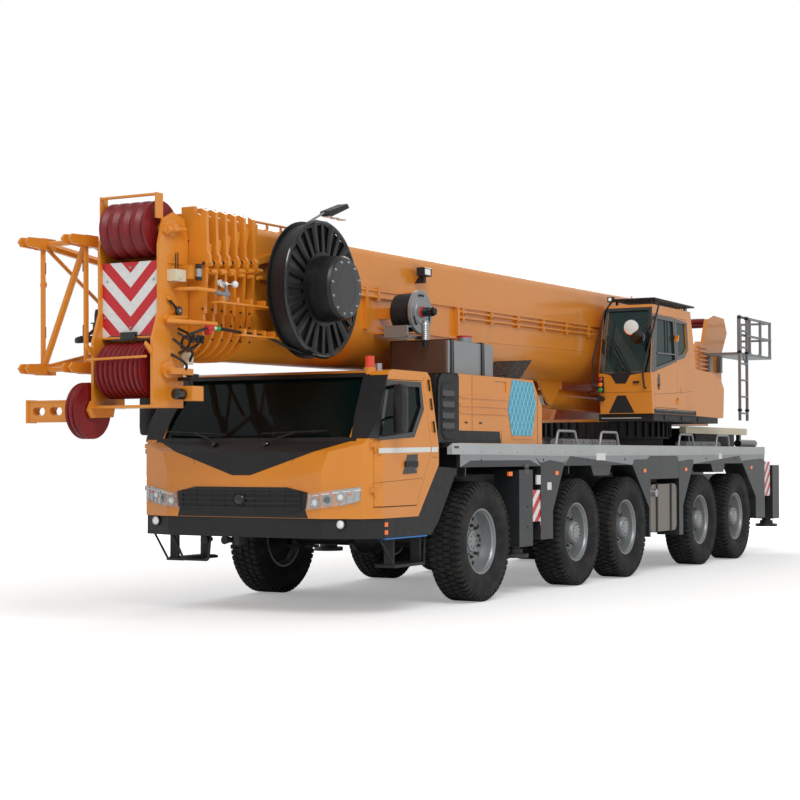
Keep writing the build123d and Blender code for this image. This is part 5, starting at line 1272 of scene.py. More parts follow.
class CRANE_OT_head(CraneOperator):
    """Makes what is fixed to the boom's head: lamps, wind gauge, hoses, pins and guards"""

    bl_idname = "crane.head"
    bl_label = "Boom head"

    def make(self):
        self.board()
        self.flank()
        self.hoses()
        self.gauge()

    def board(self):
        """Rivets and brackets of the striped board, and the sheave guards."""
        form = Form("head_board_fixings", "gloss_black", "bright_metal", "crane_paint")
        form.box((4.392, 4.43), (-0.085, 0.085), (2.70, 2.765))
        form.use(0).slab([(-0.33, 2.690), (0.33, 2.690), (0.26, 2.735), (-0.26, 2.735)], (4.372, 4.383), "X")
        for y, w in ((-0.27, 0.24), (0.27, 0.24), (-0.30, -0.1), (0.30, -0.1), (0.0, -0.20), (0.0, 0.36)):
            form.use(1).rod(on_boom(13.384, y, w), on_boom(13.392, y, w), 0.011, 10)
        form.use(2).rod(on_boom(13.60, -0.345, -0.50), on_boom(13.60, 0.345, -0.485), 0.012, 10)
        for side in (1, -1):
            form.slab([(4.47, 2.58), (4.60, 2.66), (4.61, 2.63), (4.53, 2.55)], (0.332 * side, 0.352 * side))
        form.done("boom_section_6", "crane_paint", bevel=0.001)

    def flank(self):
        """Antennas, canister, lever, tapered pins and the hanging box on the head's left side."""
        form = Form("head_flank_parts", "crane_paint", "gloss_black", "bright_metal", "cream_paint",
                    "dark_steel")
        for y in (0.392, 0.416):
            form.use(4).rod((4.215, y, 3.33), (4.215, y, 3.504), 0.006, 8)
        form.use(3).lathe([(0.034, 0), (0.034, 0.006), (0.022, 0.008), (0.004, 0.008)], (4.228, 0.455, 3.285),
                          "Y", 24)
        form.use(0).box((4.13, 4.05), (0.356, 0.500), (3.262, 3.392))
        form.use(1).rod((4.045, 0.530, 3.250), (4.045, 0.530, 3.405), 0.031, 16)
        form.use(2).rod((4.045, 0.530, 3.285), (4.045, 0.530, 3.360), 0.033, 16)
        form.use(0).slab([(4.30, 3.40), (4.03, 3.40), (4.03, 3.58), (4.12, 3.62)], (0.360, 0.372))
        for x, z in ((4.345, 3.700), (4.332, 2.880)):
            form.use(0).rod((x, 0.345, z), (x, 0.400, z), 0.040, 16)
            form.rod((x + 0.015, 0.400, z), (x - 0.270, 0.400, z + 0.03), 0.034, 12, end_radius=0.020)
        form.use(4).rod((4.30, 0.372, 3.070), (4.20, 0.400, 2.975), 0.013, 8)
        form.use(0).rod((4.305, 0.345, 3.075), (4.305, 0.39, 3.075), 0.022, 12)
        form.use(1).rod((4.186, 0.392, 2.963), (4.186, 0.418, 2.963), 0.044, 20)
        form.use(2).rod((4.186, 0.418, 2.963), (4.186, 0.426, 2.963), 0.017, 14)
        form.use(0).tube([(4.36, 0.395, 2.862), (4.25, 0.455, 2.858), (3.90, 0.63, 2.846)], 0.026, 12)
        form.box((4.215, 4.040), (0.440, 0.585), (2.125, 2.262))
        form.use(1).lathe([(0.052, -0.11), (0.052, 0.0), (0.040, 0.006)], (4.345, 0.49, 2.185), "X", 20)
        form.use(4).rod((4.12, 0.50, 2.262), (4.12, 0.50, 2.345), 0.020, 10)
        form.rod((4.12, 0.50, 2.330), (4.12, 0.350, 2.330), 0.018, 10)
        form.use(0).box((4.34, 4.00), (0.352, 0.440), (2.370, 2.430))
        form.use(4).box((4.02, 3.90), (0.370, 0.430), (2.330, 2.385))
        form.use(3).box((4.09, 4.00), (0.362, 0.440), (2.470, 2.580))
        form.done("boom_section_6", "crane_paint", bevel=0.002)

    def hoses(self):
        """Coloured glands and black hoses from the head through the clamps."""
        form = Form("head_hoses", "black_hose", "red_paint", "white_paint", "green_lens", "dark_steel")
        y = 0.66
        for material, start, end, radius in ((1, 4.10, 4.01, 0.030), (2, 4.01, 3.955, 0.017),
                                             (3, 3.955, 3.90, 0.022),
                                             (4, 3.90, 3.84, 0.018)):
            form.use(material).rod((start, y, 2.800), (end, y, 2.806), radius, 12)
        form.use(1).rod((4.055, y - 0.045, 2.765), (4.055, y + 0.02, 2.765), 0.026, 10)
        loops = [[(4.10, 0.66, 2.795), (4.20, 0.62, 2.76), (4.24, 0.50, 2.70), (4.16, 0.42, 2.62)],
                 [(4.22, 0.42, 2.76), (4.15, 0.52, 2.69), (4.04, 0.55, 2.72), (3.98, 0.47, 2.66),
                  (4.03, 0.38, 2.60)],
                 [(4.27, 0.40, 2.70), (4.20, 0.48, 2.62), (4.10, 0.50, 2.58), (4.06, 0.44, 2.50)],
                 [(4.24, 0.36, 2.56), (4.18, 0.44, 2.50), (4.12, 0.45, 2.44), (4.14, 0.38, 2.38)],
                 [(4.19, 0.40, 2.80), (4.09, 0.46, 2.74), (4.08, 0.44, 2.64), (4.12, 0.36, 2.57)]]
        for loop in loops:
            form.use(0).tube(soft_path(loop), 0.013, 8)
        for x in (4.18, 4.11, 4.04):
            form.use(4).rod((x, 0.56, 2.665), (x - 0.02, 0.56, 2.735), 0.017, 10)
        form.done("boom_section_6", "dark_trim")
        feed = Form("reel_hose", "black_hose")
        feed.tube(soft_path([(3.86, y, 2.806), (3.60, y, 2.795), (3.30, 0.665, 2.785), (3.08, 0.68, 2.765),
                             (2.86, 0.74, 2.690), (2.68, 0.80, 2.640)]), 0.015, 8)
        feed.done("boom_base", "dark_trim")

    def gauge(self):
        """Wind gauge with three white cups on its arm."""
        form = Form("wind_gauge", "white_paint", "silver_paint", "crane_paint")
        hub = Vector((3.79, 0.665, 3.235))
        form.use(2).tube([(4.20, 0.360, 3.165), (4.15, 0.600, 3.165), (3.95, 0.665, 3.155)], 0.018, 10)
        form.use(1).tube([(3.97, 0.665, 3.150), (3.86, 0.665, 3.128), (3.76, 0.665, 3.138)], 0.026, 12)
        form.rod((3.79, 0.665, 3.08), (3.79, 0.665, 3.18), 0.020, 12)
        form.rod((3.79, 0.665, 3.18), hub, 0.013, 12)
        form.use(0).ball(hub, 0.020, 12)
        for step in range(3):
            angle = math.tau * (step / 3 + 0.04)
            tip = hub + Vector((0.115 * math.cos(angle), 0.06 * math.sin(angle), 0.0))
            form.rod(hub, tip, 0.005, 6)
            way = Vector((-math.sin(angle), math.cos(angle), 0))
            form.lathe([(0.004, -0.034), (0.024, -0.026), (0.034, 0.0), (0.031, 0.0), (0.022, -0.022)], tip,
                       way, 16)
        form.done("boom_section_6", "crane_paint")


def soft_path(points, steps=6):
    """Smooth path through points, for hoses and ropes."""
    spots = [Vector(point) for point in points]
    padded = [spots[0] * 2 - spots[1], *spots, spots[-1] * 2 - spots[-2]]
    path = []
    for a, b, c, d in zip(padded, padded[1:], padded[2:], padded[3:]):
        for step in range(steps):
            t = step / steps
            path.append(0.5 * (b * 2 + (c - a) * t + (a * 2 - b * 5 + c * 4 - d) * t * t
                               + (b * 3 - a - c * 3 + d) * t * t * t))
    return path + [spots[-1]]


class CRANE_OT_collars(CraneOperator):
    """Makes the gussets, blocks and bolts of the boom's six collars, and the pipes along its base"""

    bl_idname = "crane.collars"
    bl_label = "Boom collars"

    def make(self):
        for index in range(SECTIONS):
            body = "boom_base" if index == 0 else f"boom_section_{index}"
            self.collar(index, body)
        self.pipes()

    def collar(self, index, body):
        form = Form(f"collar_parts_{index + 1}", "crane_paint", "cast_steel", "dark_steel")
        front = COLLAR_FRONT + COLLAR_PITCH * index
        back = front - COLLAR_DEPTH

        def spot(along, across, up):
            return on_boom(along, across, up)
        top = 0.888 + 0.022 - 0.014 * index - 0.04 * index
        for side in (1, -1):
            form.use(0)
            rings = []
            for y in (0.508, 0.532):
                rings.append([spot(back, y * side, top - 0.01), spot(back, y * side, top - 0.34),
                              spot(back - 0.030, y * side, top - 0.34),
                              spot(back - 0.088, y * side, top - 0.10),
                              spot(back - 0.094, y * side, top - 0.05)])
            if side > 0:
                form.loft(rings)
                form.rod(spot(back - 0.055, 0.545, 0.475 - 0.014 * index),
                         spot(front + 0.010, 0.545, 0.475 - 0.014 * index),
                         0.030, 14)
                form.rod(spot(back - 0.085, 0.575, 0.400 - 0.014 * index),
                         spot(back + 0.004, 0.575, 0.400 - 0.014 * index),
                         0.026, 14)
                form.use(1).nut(spot(front + 0.010, 0.545, 0.475 - 0.014 * index), (1, 0, 0), 0.018, 0.010)
                form.use(0).rod(spot(back - 0.060, 0.590, 0.330), spot(back + 0.004, 0.590, 0.330), 0.020, 12)
            form.use(1)
            for w in (-0.02, -0.16, -0.30):
                form.nut(spot(front, 0.522 * side, w), (1, 0, 0), 0.012, 0.008)
        for y in (-0.36, -0.24, -0.12, 0.0, 0.12, 0.24, 0.36):
            form.use(1).nut(spot(front, y, top - 0.012), (1, 0, 0), 0.011, 0.007)
        form.done(body, "crane_paint", bevel=0.0015)

    def pipes(self):
        """Twin pipes with clamps along the base's left flank, the belly's weld line and the hose tray."""
        form = Form("boom_pipes", "crane_paint", "cast_steel", "dark_steel")
        for up, radius in ((0.285, 0.016), (0.215, 0.016)):
            form.use(0).rod(on_boom(3.6, 0.526, up), on_boom(7.75, 0.526, up), radius, 10)
            form.rod(on_boom(8.8, 0.526, up + 0.10), on_boom(10.75, 0.526, up + 0.10), radius, 10)
        for along in [3.75 + 0.78 * step for step in range(6)]:
            form.use(0).box((PIVOT[0] + along - 0.022, PIVOT[0] + along + 0.022), (0.498, 0.548),
                            (on_boom(along, 0, 0.175)[2], on_boom(along, 0, 0.325)[2]))
            form.use(1).nut(on_boom(along, 0.548, 0.25), (0, 1, 0), 0.011, 0.008)
        for along in (8.95, 9.7, 10.5):
            form.use(0).box((PIVOT[0] + along - 0.02, PIVOT[0] + along + 0.02), (0.498, 0.548),
                            (on_boom(along, 0, 0.275)[2], on_boom(along, 0, 0.425)[2]))
        form.use(0)
        seam(form, [(3.7, 0.0), (6.9, 0.0)], lambda a, b,
             lift: on_boom(a, 0.5005, b - 0.03 - 0.02 * (a - 3.7) / 3.2), 0.010)
        form.box((PIVOT[0] + 7.78, PIVOT[0] + 7.83), (0.498, 0.560), (2.93, 3.40))
        form.box((PIVOT[0] + 8.5, PIVOT[0] + 8.56), (0.498, 0.545), (2.95, 3.38))
        form.box((PIVOT[0] + 7.8, PIVOT[0] + 9.6), (0.498, 0.535), (3.02, 3.045))
        form.box((PIVOT[0] + 9.93, PIVOT[0] + 9.98), (0.498, 0.545), (3.0, 3.46))
        for step in range(9):
            along = 0.70 + 0.052 * step
            form.rod(on_boom(along + 10.25, 0.505, 0.86), on_boom(along + 10.25, 0.505, 0.83), 0.008, 8)
        form.use(2).rod(on_boom(0.35, 0.50, 0.62), on_boom(0.35, 0.506, 0.62), 0.030, 16)
        form.done("boom_base", "crane_paint", bevel=0.001)
        rope = Form("hoist_rope", "wire_rope", "crane_paint")
        spans = [on_boom(along, 0.0, 0.884) for along in (11.95, 9.285, 7.15, 5.91, 1.86)]
        rope.tube(spans, 0.011, 8)
        for x in (-3.09, -7.55):
            rope.use(1).box((x - 0.05, x + 0.05), (-0.055, 0.055),
                            (on_boom(x - PIVOT[0], 0, 0.863)[2], on_boom(x - PIVOT[0], 0, 0.905)[2]))
        rope.done("boom_base", "dark_steel")


class CRANE_OT_reels(CraneOperator):
    """Makes the windings, spokes, bolts and brackets of the hose reel and the small reel"""

    bl_idname = "crane.reels"
    bl_label = "Reels"

    def make(self):
        self.large()
        self.small()
        self.lamps()

    def large(self):
        """Ribbed windings behind twelve flat spokes, with the hub's bolts."""
        form = Form("hose_reel_windings", "black_hose", "reel_plastic", "bright_metal", "gloss_black")
        centre = Vector(HOSE_REEL)
        count = 15
        profile = [(0.336, 0.738)]
        for step in range(count):
            low = 0.345 + 0.0205 * step
            for share, y in ((0.0, 0.895), (0.35, 0.908), (0.65, 0.908)):
                profile.append((low + 0.0205 * share, y))
        profile += [(0.655, 0.895), (0.655, 0.738)]
        form.lathe(profile, centre, "Y", 96, closed=True)
        form.use(1)
        for step in range(REEL_SPOKES):
            angle = math.tau * (step + 0.5) / REEL_SPOKES
            way = Vector((math.cos(angle), 0, math.sin(angle)))
            side = Vector((-math.sin(angle), 0, math.cos(angle)))
            start, end = centre + way * 0.340, centre + way * 0.668
            rings = []
            for spot, half in ((start, 0.030), (end, 0.052)):
                rings.append([spot + side * half + Vector((0, 0.930, 0)),
                              spot + side * half * 0.55 + Vector((0, 0.941, 0)),
                              spot - side * half * 0.55 + Vector((0, 0.941, 0)),
                              spot - side * half + Vector((0, 0.930, 0))])
            form.loft(rings)
        form.use(3).lathe([(0.690, 0.912), (0.697, 0.922), (0.690, 0.934), (0.676, 0.940), (0.664, 0.932)],
                          centre, "Y",
                          96, closed=True)
        form.use(1).lathe([(0.330, 0.93), (0.336, 0.99), (0.318, 1.06), (0.306, 1.19), (0.300, 1.1995)],
                          centre, "Y", 64,
                          closed=False)
        form.use(3).lathe([(0.296, 1.196), (0.297, 1.2035), (0.250, 1.206), (0.180, 1.206), (0.176, 1.203),
                           (0.170, 1.203), (0.166, 1.206), (0.02, 1.206)], centre, "Y", 64)
        for step in range(12):
            angle = math.tau * (step + 0.3) / 12
            spot = centre + Vector((0.262 * math.cos(angle), 1.2055, 0.262 * math.sin(angle)))
            form.use(2).rod(spot, spot + Vector((0, 0.004, 0)), 0.014, 12)
            form.nut(spot + Vector((0, 0.004, 0)), (0, 1, 0), 0.0105, 0.008)
        form.done("hose_reel", "dark_trim")

    def small(self):
        """Flange with its slots, the hub with a red ring, the upright cylinder and the bracket."""
        form = Form("rope_reel_parts", "silver_paint", "red_paint", "gloss_black", "black_hose", "dark_steel")
        centre = Vector(ROPE_REEL)
        for step in range(7):
            y = 0.735 + 0.032 * step
            form.use(3).lathe([(0.200, y), (0.212, y + 0.008), (0.212, y + 0.022), (0.200, y + 0.030)],
                              centre, "Y", 40,
                              closed=True)
        form.use(0).lathe([(0.240, 0.998), (0.243, 1.004), (0.236, 1.009), (0.222, 1.005), (0.140, 1.005),
                           (0.134, 1.012),
                           (0.060, 1.012)], centre, "Y", 48)
        for step in range(3):
            angle = math.radians(70 + 120 * step)
            path = []
            for share in range(5):
                turn = angle + math.radians(8 * share)
                path.append(centre + Vector((0.185 * math.cos(turn), 1.006, 0.185 * math.sin(turn))))
            form.use(4).tube(path, 0.013, 8)
        form.use(1).lathe([(0.062, 1.012), (0.062, 1.030), (0.050, 1.034)], centre, "Y", 28)
        form.use(2).rod(centre + Vector((0, 1.03, 0)), centre + Vector((0, 1.150, 0)), 0.052, 20)
        form.use(4).nut(centre + Vector((0, 1.150, 0)), (0, 1, 0), 0.042, 0.030)
        form.done("rope_reel", "grey_aluminium")
        base = Form("rope_reel_bracket", "silver_paint", "bright_metal", "dark_steel")
        base.box((0.84, 0.40), (0.700, 0.730), (2.900, 2.955))
        base.box((0.86, 0.83), (0.700, 0.985), (2.900, 3.030))
        base.box((0.86, 0.45), (0.955, 0.985), (2.895, 2.925))
        base.box((0.86, 0.45), (0.955, 0.985), (3.010, 3.030))
        ribs = [(0.030, 2.865)]
        for step in range(9):
            z = 2.875 + 0.02 * step
            ribs += [(0.042, z), (0.046, z + 0.005), (0.042, z + 0.012)]
        ribs += [(0.036, 3.070), (0.036, 3.090)]
        base.use(1).lathe(ribs, (0.63, 1.085, 0), "Z", 24)
        base.use(2).rod((0.63, 1.085, 2.80), (0.63, 1.085, 2.866), 0.030, 14)
        base.rod((0.63, 0.96, 2.905), (0.63, 1.06, 2.905), 0.020, 12)
        base.done("boom_base", "grey_aluminium", bevel=0.002)

    def lamps(self):
        """Glass and hoops of the work lamp and the small lamp on the boom."""
        form = Form("boom_lamp_glass", "lens_glass", "bright_metal", "gloss_black", "white_lens")
        for step in range(3):
            x = 1.63 + 0.135 * step
            form.use(1).lathe([(0.052, 0), (0.050, 0.006), (0.020, 0.002)], (x, 0.6175, 4.1075), (0, 0, -1),
                              20)
        form.use(3).box((-0.295, -0.165), (0.650, 0.654), (3.695, 3.760))
        form.use(2)
        form.tube([(-0.31, 0.652, 3.688), (-0.15, 0.652, 3.688), (-0.15, 0.652, 3.768),
                   (-0.31, 0.652, 3.768)], 0.007, 6,
                  closed=True)
        form.done("boom_base", "clear_glass")


class CRANE_OT_operator_cab(CraneOperator):
    """Makes the frames, wipers, lights, seams and skid details of the operator's cab"""

    bl_idname = "crane.operator_cab"
    bl_label = "Operator's cab"

    def make(self):
        self.front()
        self.side()
        self.roof()

    def on_front(self, y, z, lift=0.0):
        return (between(OP_FRONT, z) + lift, y, z)

    def on_side(self, x, z, lift=0.0):
        return (x, between(OP_FLANK, z) + lift, z)

    def front(self):
        """Black windscreen frame, two parallel wipers, the load light's lenses and the front seams."""
        form = Form("operator_front", "gloss_black", "dark_trim", "red_lens", "orange_lens", "green_lens",
                    "white_paint",
                    "bright_metal")
        outer = [(0.648, 2.768), (1.412, 2.768), (1.362, 3.700), (0.655, 3.700)]
        inner = [(0.712, 2.790), (1.318, 2.790), (1.318, 3.656), (0.712, 3.656)]
        ring_plate(form, outer, inner, self.on_front, 0.0006, 0.006)
        for shift in (0.0, 0.045):
            form.use(1).rod(self.on_front(1.10 - shift, 2.800, 0.022),
                            self.on_front(0.775 - shift, 3.300, 0.034), 0.008, 8)
            form.rod(self.on_front(1.10 - shift, 2.790, 0.004), self.on_front(1.10 - shift, 2.790, 0.030),
                     0.016, 10)
        form.rod(self.on_front(0.745, 3.02, 0.026), self.on_front(0.800, 3.52, 0.026), 0.009, 6)
        form.rod(self.on_front(0.775, 2.86, 0.022), self.on_front(0.775, 3.30, 0.030), 0.006, 6)
        for number, z in ((2, 2.683), (3, 2.610), (4, 2.537)):
            form.use(number).lathe([(0.030, -0.002), (0.030, 0.004), (0.020, 0.012), (0.004, 0.014)],
                                   (-5.300, 0.680, z),
                                   "X", 24)
        form.use(1).lathe([(0.040, -0.01), (0.040, 0.004), (0.030, 0.007), (0.012, 0.002)],
                          (-5.290, 0.680, 2.415), "X", 24)
        seam(form.use(1), [(0.648, 2.500), (1.416, 2.500)], self.on_front)
        form.use(1).box((-5.325, -5.310), (1.16, 1.25), (2.620, 2.650))
        form.use(5).box((-5.4795, -5.4755), (0.62, 1.22), (2.135, 2.147))
        form.use(5).lathe([(0.103, 0.0), (0.103, 0.010), (0.094, 0.012), (0.05, 0.022), (0.004, 0.025)],
                          (-5.188, 1.189, 3.394),
                          "X", 36)
        form.use(0).lathe([(0.103, 0.0), (0.103, 0.008), (0.094, 0.010), (0.05, 0.018), (0.004, 0.020)],
                          (-5.188, 1.281, 3.260),
                          "X", 36)
        form.done("superstructure", "dark_trim")
        rim = Form("operator_mirror_rim", "orange_lens")
        path = [(-5.186, 1.189 + 0.100 * math.cos(a), 3.394 + 0.100 * math.sin(a))
                for a in [math.radians(190 + 8 * step) for step in range(20)]]
        rim.tube(path, 0.011, 8)
        rim.done("superstructure", "dark_trim")

    def side(self):
        """Dark surround of the side windows, the window bar, joint lines and the skid's edge."""
        rear = Form("operator_side", "gloss_black", "dark_trim", "silver_paint")
        outer = [(-6.405, 2.985), (-6.405, 3.592), (-6.930, 3.568), (-6.925, 3.165), (-6.735, 3.035)]
        ring_plate(rear, outer, OP_REAR_WINDOW, self.on_side, 0.0006, 0.005)
        plate(rear, [(-5.342, 2.775), (-5.540, 3.605), (-5.614, 3.605), (-5.440, 2.775)], self.on_side,
              0.0006, 0.005)
        plate(rear, [(-5.540, 3.605), (-5.614, 3.606), (-6.930, 3.606), (-6.930, 3.600)], self.on_side,
              0.0006, 0.004)
        rear.use(1)
        for points in ([(-6.531, 2.96), (-6.531, 2.56), (-6.56, 2.50)], [(-6.40, 2.520), (-7.025, 2.554)],
                       [(-5.442, 2.466), (-5.50, 2.470)], [(-6.98, 3.10), (-6.98, 2.30)]):
            seam(rear, points, self.on_side)
        rear.use(1).box((-5.46, -7.18), (1.4205, 1.4265), (2.204, 2.268))
        rear.use(2).box((-5.50, -7.10), (1.4265, 1.4285), (2.250, 2.258))
        for x in (-5.9, -6.6, -7.3):
            rear.use(1).box((x, x - 0.45), (1.4005, 1.4125), (2.115, 2.180))
        rear.done("superstructure", "dark_trim")
        door = Form("operator_door_frame", "gloss_black", "dark_trim", "clear_glass")
        outer = [(-5.452, 2.782), (-5.632, 3.594), (-6.388, 3.594), (-6.388, 2.965)]
        ring_plate(door, outer, OP_WINDOW, self.on_side, 0.0006, 0.005)
        door.rod(self.on_side(-5.60, 3.055, 0.003), self.on_side(-6.32, 3.065, 0.003), 0.012, 8)
        door.rod(self.on_side(-6.05, 3.06, 0.002), self.on_side(-6.10, 3.53, 0.002), 0.010, 8)
        door.use(1).lathe([(0.020, 0.0), (0.018, 0.006), (0.004, 0.008)], (-5.62, 1.4305, 2.60), "Y", 16)
        seam(door, [(-5.50, 2.470), (-6.395, 2.516)], self.on_side)
        door.done("operator_door", "dark_trim")

    def roof(self):
        """Slotted guard's round edge bars, the lamp's glass and the aerial."""
        form = Form("operator_roof", "dark_trim", "white_lens", "orange_lens", "black_hose")
        for y in (0.762, 1.388):
            form.rod((-5.56, y, 3.820), (-7.20, y, 3.812), 0.014, 10)
        form.rod((-5.56, 0.762, 3.820), (-5.56, 1.388, 3.820), 0.014, 10)
        for step in range(12):
            x = -5.95 - 0.1 * step
            form.rod((x, 1.330, 3.795), (x, 1.330, 3.745), 0.006, 6)
        form.use(1).lathe([(0.026, -0.002), (0.026, 0.003), (0.010, 0.006)], (-5.520, 0.740, 3.828), "X", 20)
        form.use(2).rod((-5.95, 0.90, 3.82), (-5.95, 0.90, 3.90), 0.012, 8)
        form.use(3).rod((-7.0, 1.0, 3.82), (-7.15, 1.0, 3.86), 0.008, 6)
        form.done("superstructure", "dark_trim")


class CRANE_OT_jib(CraneOperator):
    """Makes the pins, shackle, buffers and hose coil of the folded jib"""

    bl_idname = "crane.jib"
    bl_label = "Folded jib"

    def make(self):
        form = Form("jib_parts", "crane_paint", "gloss_black", "black_hose", "dark_steel")
        inner, outer = -0.64, -1.13
        self.forks(form)
        for y in (outer + 0.10, outer + 0.17):
            x = on_boom(12.62, 0, 0)[0]
            form.use(1).lathe([(0.012, 2.66), (0.024, 2.74), (0.026, 2.82), (0.040, 2.83), (0.040, 2.94),
                               (0.026, 2.95),
                               (0.024, 3.03), (0.014, 3.08)], (x, y, 0), "Z", 16)
        form.use(3).box((on_boom(12.62, 0, 0)[0] - 0.05, on_boom(12.62, 0, 0)[0] + 0.05),
                        (outer + 0.06, outer + 0.21),
                        (2.936, 2.946))
        form.box((on_boom(12.62, 0, 0)[0] - 0.05, on_boom(12.62, 0, 0)[0] + 0.05),
                 (outer + 0.06, outer + 0.21),
                 (2.826, 2.836))
        x = on_boom(12.95, 0, 0)[0]
        form.use(1).lathe([(0.012, 2.60), (0.026, 2.66), (0.030, 2.90), (0.040, 2.91), (0.040, 3.02),
                           (0.026, 3.03),
                           (0.020, 3.10)], (x, inner - 0.055, 0), "Z", 16)
        coil = []
        for step in range(49):
            angle = math.tau * step / 16
            coil.append((x - 0.10 + 0.20 * math.cos(angle), inner - 0.22 + 0.17 * math.sin(angle),
                         2.735 + 0.012 * step / 16 + 0.012 * math.sin(angle * 2)))
        form.use(2).tube(coil, 0.015, 8)
        form.tube(soft_path([(x + 0.10, inner - 0.20, 2.755), (x + 0.04, inner - 0.12, 2.84),
                             (x, inner - 0.05, 2.92),
                             (x - 0.03, inner - 0.03, 3.0)]), 0.015, 8)
        form.done("boom_base", "crane_paint")

    def forks(self, form):
        """Shackle under the top fork, and pins through the forks' eyes."""
        inner, outer = -0.64, -1.13
        for y in (inner, outer):
            for w in (0.42, -0.20):
                form.use(3).rod(on_boom(13.28, y, w - 0.055), on_boom(13.28, y, w + 0.055), 0.016, 12)
        top = on_boom(13.26, outer - 0.03, 0.30)
        form.use(0).rod(top, (top[0], top[1], top[2] + 0.07), 0.020, 12)
        ring = []
        for step in range(16):
            angle = math.tau * step / 16
            ring.append((top[0], top[1] + 0.032 * math.cos(angle), top[2] - 0.035 + 0.036 * math.sin(angle)))
        form.tube(ring, 0.010, 8, closed=True)


class CRANE_OT_deck(CraneOperator):
    """Makes the walking plates, markers, latches and small fittings along the chassis"""

    bl_idname = "crane.deck"
    bl_label = "Deck and flanks"

    def make(self):
        self.plates()
        self.markers()
        self.platform()

    def plates(self):
        """Rolled walking plates beside the hoops."""
        form = Form("walk_plates", "silver_paint", "tread_plate", "dark_steel")
        for front, rear in ((-2.53, -3.45), (-3.50, -4.30), (-7.05, -7.70), (-7.75, -8.60)):
            span = [(1.150, 1.754), (1.150, 1.800), (1.175, 1.826), (1.290, 1.826), (1.318, 1.808),
                    (1.322, 1.754)]
            form.use(1).slab(span, (rear, front), "X")
            for step in range(5):
                x = front - 0.08 - (front - rear - 0.16) * step / 4
                form.use(2).rod((x, 1.318, 1.786), (x, 1.326, 1.786), 0.008, 8)
        for x in (-2.51, -3.90, -6.86, -8.52):
            for shift in (-0.33, 0.33):
                form.use(0).lathe([(0.034, 1.751), (0.034, 1.757), (0.018, 1.760)], (x + shift, 1.38, 0), "Z",
                                  16)
        form.done("carrier", "dark_trim")

    def markers(self):
        """Orange side markers, blank plates, latches and the slots of the deck's edge."""
        form = Form("flank_fittings", "orange_lens", "white_paint", "dark_steel", "gloss_black",
                    "silver_paint")
        for x, z in ((-0.64, 1.407), (-1.937, 1.404), (-4.871, 1.408), (-6.509, 1.413), (-9.575, 1.420)):
            form.use(0).box((x - 0.045, x + 0.045), (1.480, 1.5055), (z - 0.024, z + 0.024))
        for x, z, wide, high in ((-3.33, 1.600, 0.15, 0.045), (-1.42, 1.330, 0.05, 0.055),
                                 (-1.72, 1.250, 0.06, 0.045),
                                 (-8.05, 1.600, 0.07, 0.040)):
            form.use(1).box((x - wide, x + wide), (1.4805, 1.5005), (z - high, z + high))
        form.use(3).box((0.755, 0.640), (1.498, 1.5012), (1.694, 1.720))
        x = COLUMN_LATCH
        form.use(3).box((x - 0.055, x + 0.055), (1.498, 1.5015), (1.405, 1.525))
        form.use(2).box((x - 0.035, x + 0.035), (1.5015, 1.506), (1.455, 1.475))
        for z in (0.78, 1.02):
            form.use(2).rod((-1.10, 1.4985, z), (-1.10, 1.504, z), 0.012, 10)
        for x in (-2.9, -4.15, -7.4, -8.75, 0.1, -1.55):
            form.use(2).lathe([(0.014, 0.0), (0.012, 0.004), (0.004, 0.006)], (x, 1.4985, 1.565), "Y", 12)
        for step in range(24):
            x = 0.55 - 0.46 * step
            form.use(4).rod((x, 1.4995, 1.655), (x, 1.5035, 1.655), 0.008, 8)
        form.done("carrier", "dark_trim")

    def platform(self):
        """Latches, clamps and bent brace of the rear platform."""
        form = Form("platform_parts", "grey_aluminium", "dark_steel", "red_paint")
        for x in (-9.87, -10.25):
            for z in (2.35, 3.30, 3.86):
                form.use(1).box((x - 0.024, x + 0.024), (1.196, 1.254), (z - 0.02, z + 0.02))
        for x in (-9.99, -10.55, -11.10, -11.65):
            form.use(0).lathe([(0.020, 3.300), (0.034, 3.304), (0.034, 3.316), (0.022, 3.330)], (x, 1.18, 0),
                              "Z", 14)
        form.use(0).rod((-9.87, 1.225, 3.02), (-9.97, 1.19, 3.28), 0.014, 8)
        form.rod((-10.25, 1.225, 3.02), (-10.15, 1.19, 3.28), 0.014, 8)
        for step in range(14):
            x = -10.02 - 0.12 * step
            form.rod((x, 0.66, 3.302), (x, 1.18, 3.302), 0.0045, 5)
        form.done("superstructure", "grey_aluminium")


